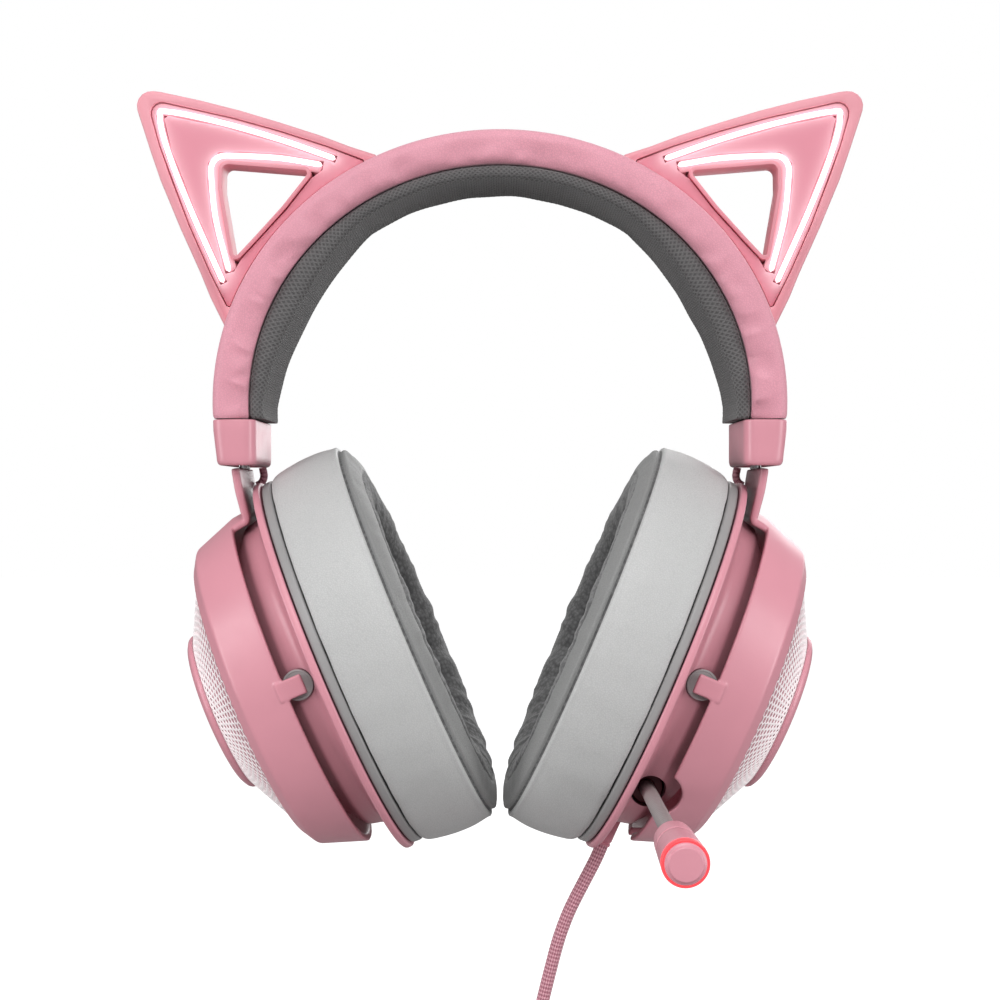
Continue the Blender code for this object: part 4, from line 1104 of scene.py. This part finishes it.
def build_yoke(label, side):
    body = label + "_yoke"
    place = cup_matrix(side)
    ring = turned(label + "_arm", side, (
        (0.0448, -0.0102), (0.0470, -0.0102), (0.0427, -0.0224), (0.0385, -0.0250),
        (0.0373, -0.0250), (0.0373, -0.0234), (0.0403, -0.0212)), PINK, radius=0.0006, steps=200)
    parts = [ring, build_neck(label, side)]
    for sign in (-1, 1):
        low_y, high_y = sorted(-side * sign * y for y in (0.0385, 0.0401))
        parts.append(rounded_block("tab", (PIVOT[0] - TAB_HALF, low_y, -0.0125),
                                   (PIVOT[0] + TAB_HALF, high_y, -0.0053), 0.0004, PINK, place))
    if side > 0:
        notch = drill("notch", along_y_place(1, *MIC_NOTCH), 0.0058, -0.020)
        relief = rounded_block("relief", (0.030, -0.0034, -0.0145), (0.060, 0.0034, -0.0090),
                               0.0008, PINK, place)
        without(ring, notch, relief)
    arm = merged(label + "_arm", parts, 0.00032, 4, PINK)
    done(arm, body, "pink_plastic", label + "_yoke")

    build_grille(label, side)
    badge = turned(label + "_cap", side, (
        (0.0, -0.0337), (0.0198, -0.0337), (0.0217, -0.0328), (0.0219, -0.0334), (0.0214, -0.0343),
        (0.0200, -0.0351), (0.0186, -0.0354), (0.0180, -0.0354), (0.0176, -0.0351), (0.0170, -0.0351),
        (0.0166, -0.0354), (0.0100, -0.0355), (0.0, -0.0355)), PINK, closed=False, radius=0.0003, steps=160)
    done(badge, body, "pink_plastic", label + "_badge")

    stem = softened(label + "_slider_stem", STEEL, 0.0003)
    done(stem, body, "steel", label + "_slider_stem")
    wire = even(smooth([(side * x, LINK_Y, z) for x, z in LINK_ROUTE], 12), 0.00025)
    link = tube(label + "_link_cable", wire, LINK_RADIUS, BRAID, around=24, relief=0.0001)
    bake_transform(link)
    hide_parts(label + "_link_wire")


def build_grille(label, side):
    """The lit grille: a honeycomb of holes through a thin skin, over a glowing liner."""
    section = ((GRILLE_OUTER, -0.0238), (GRILLE_OUTER, -0.0248), (GRILLE_INNER, -0.0334), (0.0176, -0.0334))
    route = fillet(section, 0.0008, False, 3)
    fine = even(route, 0.0001)
    lengths = [0.0]
    for first, second in zip(fine, fine[1:]):
        lengths.append(lengths[-1] + (second - first).length)
    total = lengths[-1]

    def spot(column, row_length):
        """A point at a place around the grille and a length along its section."""
        k = min(len(fine) - 1, max(0, round(row_length / total * (len(fine) - 1))))
        r, n = fine[k]
        return on_oval(side, tau * column / around, r, n)

    around, count = GRILLE_COLUMNS, GRILLE_ROWS
    first, last = GRILLE_MARGINS[0], total - GRILLE_MARGINS[1]
    wide_open, last_open = GRILLE_OPENING
    pitch = (last - first) / (count + 0.5)
    verts, faces, index = [], [], {}

    def vert(column, length):
        key = (round(column * 3) % (around * 3), round(length * 1e7))
        if key not in index:
            index[key] = len(verts)
            verts.append(spot(column, length))
        return index[key]

    corners = [(round(2 * cos(k * pi / 3)) / 3, round(sin(k * pi / 3) / sin(pi / 3)) / 2) for k in range(6)]
    for column in range(around):
        for row in range(count):
            middle = first + (row + 0.5 + 0.5 * (column % 2)) * pitch
            opening = wide_open - (wide_open - last_open) * row / (count - 1)
            rim = [vert(column + du, middle + dv * pitch) for du, dv in corners]
            hole = list(range(len(verts), len(verts) + 6))
            verts += [spot(column + du * opening, middle + dv * opening * pitch) for du, dv in corners]
            for k in range(6):
                faces.append((rim[k], rim[(k + 1) % 6], hole[(k + 1) % 6], hole[k]))
    narrow, wide = 1 / 3, 2 / 3
    for column in range(0, around, 2):
        edge = first + count * pitch
        faces.append((vert(column - narrow, edge), vert(column + narrow, edge),
                      vert(column + wide, last), vert(column - wide, last)))
        edge = first + 0.5 * pitch
        faces.append((vert(column + 1 - wide, first), vert(column + 1 + wide, first),
                      vert(column + 1 + narrow, edge), vert(column + 1 - narrow, edge)))
        for low, high, half in ((0.0, first, narrow), (last, total, wide)):
            for k in range(4):
                near, far = low + (high - low) * k / 4, low + (high - low) * (k + 1) / 4
                stops = (column - half, column + half, column + 2 - half)
                for a, b in zip(stops, stops[1:]):
                    faces.append((vert(a, near), vert(b, near), vert(b, far), vert(a, far)))
    grille = shaped(label + "_grille_mesh", verts, faces, GRILLE, sharp=60)
    thick = grille.modifiers.new("thick", "SOLIDIFY")
    thick.thickness = GRILLE_THICKNESS
    thick.offset = -1.0
    finer = grille.modifiers.new("finer", "SUBSURF")
    finer.levels = 1
    finer.render_levels = 1
    applied(grille)
    grille.data.shade_smooth()
    into_cup = cup_matrix(side).inverted()
    places = [into_cup @ vert.co for vert in grille.data.vertices]
    # Glow on the grille skin, rising towards the badge: partly the grille's own lit glow, partly painted
    # light on a face that lies in shade.
    reach = GRILLE_OUTER - GRILLE_INNER
    lit = [min(1.0, max(0.0, (GRILLE_OUTER - hypot(p.x, p.y / OVAL)) / reach)) for p in places]
    dim, bright = GRILLE_HALO
    set_halo(grille, [dim + (bright - dim) * v for v in lit])
    done(grille, label + "_yoke", "lit_grille", label + "_grille")

    liner = turned(label + "_grille_light", side, (
        (0.0355, -0.0236), (0.0355, -0.0240), (0.0202, -0.0321), (0.0174, -0.0321), (0.0174, -0.0316),
        (0.0199, -0.0316)), GRILLE_GLOW, radius=0.0001, steps=96)
    done(liner, label + "_yoke", "light_guide")


# ---- cups

def build_housing(label, side):
    housing = turned(label + "_cup_case", side, (
        (0.0, -0.0137), (0.0323, -0.0137), (0.0358, -0.0118), (0.0411, -0.0079), (0.0418, -0.0050),
        (0.0418, 0.0), (0.0527, 0.0), (0.0527, -0.0020), (0.0470, -0.0024), (0.0446, -0.0036),
        (0.0438, -0.0050), (0.0430, -0.0085), (0.0370, -0.0130), (0.0330, -0.0155), (0.0, -0.0155)),
        PINK, closed=False, radius=0.0008, steps=220, corner_steps=5)
    cutters = []
    centre = along_y_place(side, *PIVOT)
    for sign in (-1, 1):
        seat = [(r, sign * y) for r, y in (
            (0.0001, 0.048), (0.0042, 0.048), (0.0042, 0.03705), (0.0029, 0.03705), (0.0029, 0.0300),
            (0.0001, 0.0300))]
        cutters.append(turned_along_y("seat", centre, seat, PINK, 0, 64))
    if side > 0:
        cutters.append(drill("hole", along_y_place(1, *MIC_HOLE), 0.0046, -0.012))
        place = cup_matrix(1)
        cutters.append(rounded_block("wheel", (WHEEL[0] - 0.0085, -0.050, -0.0070),
                                     (WHEEL[0] + 0.0085, -0.020, -0.0035), 0.0008, PINK, place))
        cutters.append(rounded_block("button", (BUTTON_U - 0.0043, -0.050, -0.0076),
                                     (BUTTON_U + 0.0043, -0.028, -0.0044), 0.0010, PINK, place))
        rod = []
        for u in (0.0380, 0.0560):
            rod.append([in_cup(1, u, RELIEF_N + 0.0027 * cos(tau * k / 40), 0.0027 * sin(tau * k / 40))
                        for k in range(40)])
        cutters.append(skin("relief", rod, PINK, caps=True))
    without(housing, *cutters)
    done(housing, label + "_cup", "pink_plastic", label + "_cup_housing")


def build_bush(label, side, face, sign):
    centre = along_y_place(side, *PIVOT)
    profile = [(r, sign * y) for r, y in (
        (0.0016, 0.0349), (0.0026, 0.0348), (0.0026, 0.03735), (0.0038, 0.03735), (0.0039, 0.0376),
        (0.0039, 0.03805), (0.00375, 0.0382), (0.00340, 0.0382), (0.00328, 0.03808), (0.0016, 0.03808))]
    bush = turned_along_y(f"{label}_{face}_bush_disc", centre, profile, GREY, 0.0001, 96, closed=True)
    done(bush, label + "_cup", "grey_plastic", f"{label}_{face}_bush")


def pad_rows(side):
    profile = loop(smooth([*PAD_PROFILE, PAD_PROFILE[0]], 8)[:-1], PAD_POINTS)
    rows = []
    for i in range(PAD_AROUND):
        rows.append([on_oval(side, tau * i / PAD_AROUND, r, n) for r, n in profile])
    return profile, rows


def crease_wander(circle):
    """How far the crease strays from its circle, in a direction round the pad."""
    return 0.0011 * noise.noise(circle * 3.1 + Vector((0, 0, 1.7)))


def build_pads():
    """One pad is swollen as cloth, then sewn and gathered; the other is its mirror image."""
    profile, rows = pad_rows(-1)
    pad = skin("left_ear_cushion", rows, PAD_SKIN, wrap_rows=True, sharp=75)
    inverse = cup_matrix(-1).inverted()
    inflated(pad, 0.0034, 0.0012, lambda p: (inverse @ p).z < PAD_GLUED_N)
    normals = [v.normal.copy() for v in pad.data.vertices]
    seam = min(range(PAD_POINTS), key=lambda k: (profile[k] - Vector(PAD_SEAM)).length)
    spacing = sum((profile[k] - profile[k - 1]).length for k in range(PAD_POINTS)) / PAD_POINTS
    forward = 1 if profile[(seam + 5) % PAD_POINTS].y > profile[seam].y else -1
    for k, vert in enumerate(pad.data.vertices):
        i, j = divmod(k, PAD_POINTS)
        r, n = profile[j]
        angle = tau * i / PAD_AROUND
        circle = Vector((cos(angle), sin(angle), 0.0))
        past = (j - seam) * spacing * forward
        rise = -0.00105 * np.exp(-(past / 0.00055) ** 2) + 0.00032 * np.exp(-((past + 0.0013) / 0.0008) ** 2)
        rise += 0.00018 * np.exp(-((past - 0.0014) / 0.0008) ** 2)
        if n > PAD_FRONT_N:
            wander = crease_wander(circle)
            crease = r - PAD_CREASE_R - wander
            depth = 0.00085 * (0.75 + 0.5 * noise.noise(circle * 6.0))
            rise -= depth * np.exp(-(crease / 0.00055) ** 2)
            inside = ease((PAD_CREASE_R + wander - r) / 0.0020) * ease((n - 0.014) / 0.006)
            gather = noise.noise(circle * 15.0 + Vector((0, 0, r * 60)))
            swell = noise.noise(circle * 6.0 + Vector((0, 0, 4.1 + r * 30)))
            rise += inside * (0.00065 * gather + 0.00075 * swell)
            roll = ease((past - 0.0016) / 0.0016) * ease((r - PAD_CREASE_R) / 0.0016)
            rise += roll * 0.00030 * noise.noise(circle * 13.0 + Vector((0, 0, 8.3)))
        if past < -0.0015 and r > 0.045:
            rise += 0.00022 * noise.noise(circle * 7.0 + Vector((0, 0, n * 70)))
        vert.co += normals[k] * float(rise)
    pad.data.materials.append(PAD_KNIT)
    pad.data.materials.append(PAD_ROLL_PAINTED_SHADE)
    for face in pad.data.polygons:
        columns = [v % PAD_POINTS for v in face.vertices]
        centre = sum((profile[c] for c in columns), Vector((0, 0))) / len(columns)
        angle = tau * (face.vertices[0] // PAD_POINTS) / PAD_AROUND
        wander = crease_wander(Vector((cos(angle), sin(angle), 0.0)))
        middle = sum((c - seam) * spacing * forward for c in columns) / len(columns)
        # Painted shade: the seam groove is lined with the dark knit.
        seam_shade_line = abs(middle) < 0.00026 and centre.y > PAD_FRONT_N
        if seam_shade_line or (centre.x < PAD_CREASE_R + wander and centre.y > 0.0045):
            face.material_index = 1
        # Painted shade: the rolled edge gets the darker leatherette copy.
        elif centre.y > PAD_FRONT_N and middle > -0.0003:
            face.material_index = 2
    pad.data.update()
    twin = bpy.data.objects.new("right_ear_cushion", pad.data.copy())
    SCENE.collection.objects.link(twin)
    twin.data.transform(Matrix.Scale(-1, 4, (1, 0, 0)))
    twin.data.flip_normals()
    for label, item in (("left", pad), ("right", twin)):
        done(item, label + "_cup", "grey_leatherette", label + "_ear_pad")


def build_cup(label, side):
    build_housing(label, side)
    for face, sign in (("front", -1), ("rear", 1)):
        build_bush(label, side, face, sign)
    ring = turned(label + "_pad_frame", side, (
        (0.0400, 0.0003), (0.0519, 0.0003), (0.0520, 0.0029), (0.0400, 0.0029)), GREY,
        radius=0.0008, steps=200)
    done(ring, label + "_cup", "grey_plastic", label + "_pad_ring")
    mesh = turned(label + "_ear_screen", side, (
        (0.0, 0.0033), (0.0323, 0.0033), (0.0324, 0.0040), (0.0240, 0.0039), (0.0200, 0.00365),
        (0.0120, 0.0036), (0.0, 0.0039)), SCREEN, closed=False, radius=0.0003, steps=120)
    done(mesh, label + "_cup", "black_mesh", label + "_pad_mesh")


# ---- microphone and controls

MIC_HOUSING = (
    (0.0001, -0.1000), (0.0034, -0.1000), (0.0034, -0.1161), (0.0036, -0.1165), (0.0048, -0.1165),
    (0.0050, -0.1163), (0.00497, -0.1140), (0.00478, -0.1060), (0.0047, -0.1030), (0.00455, -0.1029),
    (0.00455, -0.1023), (0.00468, -0.1022), (0.0045, -0.0950), (0.0044, -0.0932), (0.0041, -0.0926),
    (0.0001, -0.0926),
)
MIC_RING = (
    (0.0034, -0.1168), (0.0049, -0.1168), (0.00507, -0.1171), (0.00507, -0.1184), (0.0049, -0.1189),
    (0.0045, -0.1189), (0.0045, -0.1182), (0.0034, -0.1182),
)
MIC_CAP = (
    (0.00001, -0.1200), (0.0034, -0.1200), (0.0036, -0.1199), (0.0037, -0.1196), (0.0039, -0.1194),
    (0.0043, -0.1192), (0.00445, -0.1189), (0.00445, -0.1185), (0.0001, -0.1185),
)
MIC_GUIDE = ((0.00205, -0.0190), (0.0040, -0.0190), (0.0042, -0.0188), (0.0042, -0.0100), (0.00205, -0.0100))
MIC_PIECES = (  # name, profile, material, edge radius, closed, slot, node
    ("mic_body", MIC_HOUSING, PINK, 0.0002, False, "pink_plastic", "mic_housing"),
    ("mic_glow", MIC_RING, RED_LIGHT, 0.00012, True, "red_light", "mic_light_ring"),
    ("mic_end", MIC_CAP, PINK, 0.00008, False, "pink_plastic", "mic_cap"),
)
BOOM_REACH = (-0.0923, -0.0150)
BOOM_RIBS = 38


def build_microphone():
    centre = along_y_place(1, *MIC_HOLE)
    for name, profile, material, radius, closed, slot_name, node in MIC_PIECES:
        piece = turned_along_y(name, centre, profile, material, radius, 96, closed)
        done(piece, "microphone", slot_name, node)
    front, back = BOOM_REACH
    boom = [(0.0001, front), (0.0018, front), (0.00195, -0.0921)]
    count = 5 * BOOM_RIBS
    for i in range(count):
        y = -0.0918 + (0.0915 - 0.0152) * i / (count - 1)
        boom.append((0.00195 - 0.00012 * (0.5 - 0.5 * cos(tau * i / 5)) ** 2, y))
    boom += [(0.0018, back), (0.0001, back)]
    rod = turned_along_y("mic_stalk", centre, boom, BOOM, 0, 40, sharp=80)
    done(rod, "right_cup", "grey_plastic", "mic_boom")
    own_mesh(rod)
    # The grommet wears the painted-shade pink.
    guide = turned_along_y("mic_grommet", centre, MIC_GUIDE, PINK_IN_PAINTED_SHADE, 0.0002, closed=True)
    done(guide, "right_cup", "grey_plastic", "mic_guide")


def build_controls():
    axis_x, axis_z = along_y_place(1, *WHEEL)
    centre = Vector((axis_x, WHEEL_Y, axis_z))
    normal = Vector((-cos(CUP_TILT), 0, sin(CUP_TILT)))
    first = Vector((0, 1, 0))
    second = normal.cross(first)
    rows = []
    teeth = 40
    for k in range(teeth * 8):
        angle = tau * k / (teeth * 8)
        dip = 0.00028 * (0.5 - 0.5 * cos(angle * teeth)) ** 1.5
        direction = first * cos(angle) + second * sin(angle)
        rows.append([centre + direction * r + normal * n for r, n in (
            (0.0002, -0.00125), (0.0066, -0.00125), (0.0077 - dip, -0.00110), (0.0080 - dip, -0.0007),
            (0.0080 - dip, 0.0007), (0.0077 - dip, 0.00110), (0.0066, 0.00125), (0.0002, 0.00125))])
    wheel = skin("volume_dial", rows, GREY_DARK, wrap_rows=True, wrap_columns=False, sharp=50)
    done(wheel, "volume_wheel", "grey_plastic", "volume_wheel")
    button = softened("mute_button", GREY_DARK, 0.0005, 4)
    done(button, "mute_button", "grey_plastic", "mute_button")


# ---- carried-over nodes

def finish_nodes():
    """Paint the CAD nodes that stay as they are."""
    repaint("control_board", BOARD)
    repaint("mic_capsule", STEEL)
    for label in SIDES:
        repaint(label + "_ear_board", PINK_EAR)
        repaint(label + "_baffle", BLACK)
        repaint(label + "_driver", STEEL)
        repaint(label + "_diaphragm", BLACK)


def repaint(node, material):
    for place in bpy.data.objects[node].material_slots:
        place.material = material


# ---- stage

def area_light(name, place, width, height, power):
    data = bpy.data.lights.new(name, "AREA")
    data.shape = "RECTANGLE"
    data.size = width
    data.size_y = height
    data.energy = power
    light = bpy.data.objects.new(name, data)
    SCENE.collection.objects.link(light)
    light.location = place
    light.rotation_euler = (Vector(LIGHT_TARGET) - Vector(place)).to_track_quat("-Z", "Y").to_euler()


def build_stage():
    paper = Surface("floor_paper", (0.34, 0.34, 0.34), 0.9)
    seen = paper.node("ShaderNodeLightPath").outputs["Is Camera Ray"]
    paper.finish({"Roughness": paper.cloud(paper.noise(8.0), 0.85, 0.95),
                  "Emission Color": (1.0, 1.0, 1.0, 1.0),
                  "Emission Strength": paper.math("MULTIPLY", seen, FLOOR_LIFT)})
    corners = [(a * FLOOR_HALF, b * FLOOR_HALF, FLOOR_Z) for a, b in ((-1, -1), (1, -1), (1, 1), (-1, 1))]
    shaped("floor", corners, [(0, 1, 2, 3)], paper.material)
    world = bpy.data.worlds.new("studio")
    SCENE.world = world
    world.use_nodes = True
    tree = world.node_tree
    background = tree.nodes["Background"]
    background.inputs["Color"].default_value = (1.0, 1.0, 1.0, 1.0)
    path = tree.nodes.new("ShaderNodeLightPath")
    level = tree.nodes.new("ShaderNodeMapRange")
    tree.links.new(path.outputs["Is Camera Ray"], level.inputs["Value"])
    level.inputs["To Min"].default_value = WORLD_LIGHT
    level.inputs["To Max"].default_value = 1.0
    tree.links.new(level.outputs["Result"], background.inputs["Strength"])
    for light in LIGHTS:
        area_light(*light)
    SCENE.view_settings.view_transform = "Standard"


place_camera()
build_cable()
build_cover()
build_cushion()
build_pads()
for side_label, side_sign in SIDES.items():
    build_collar(side_label, side_sign)
    build_ear(side_label, side_sign)
    build_yoke(side_label, side_sign)
    build_cup(side_label, side_sign)
build_microphone()
build_controls()
finish_nodes()
build_stage()
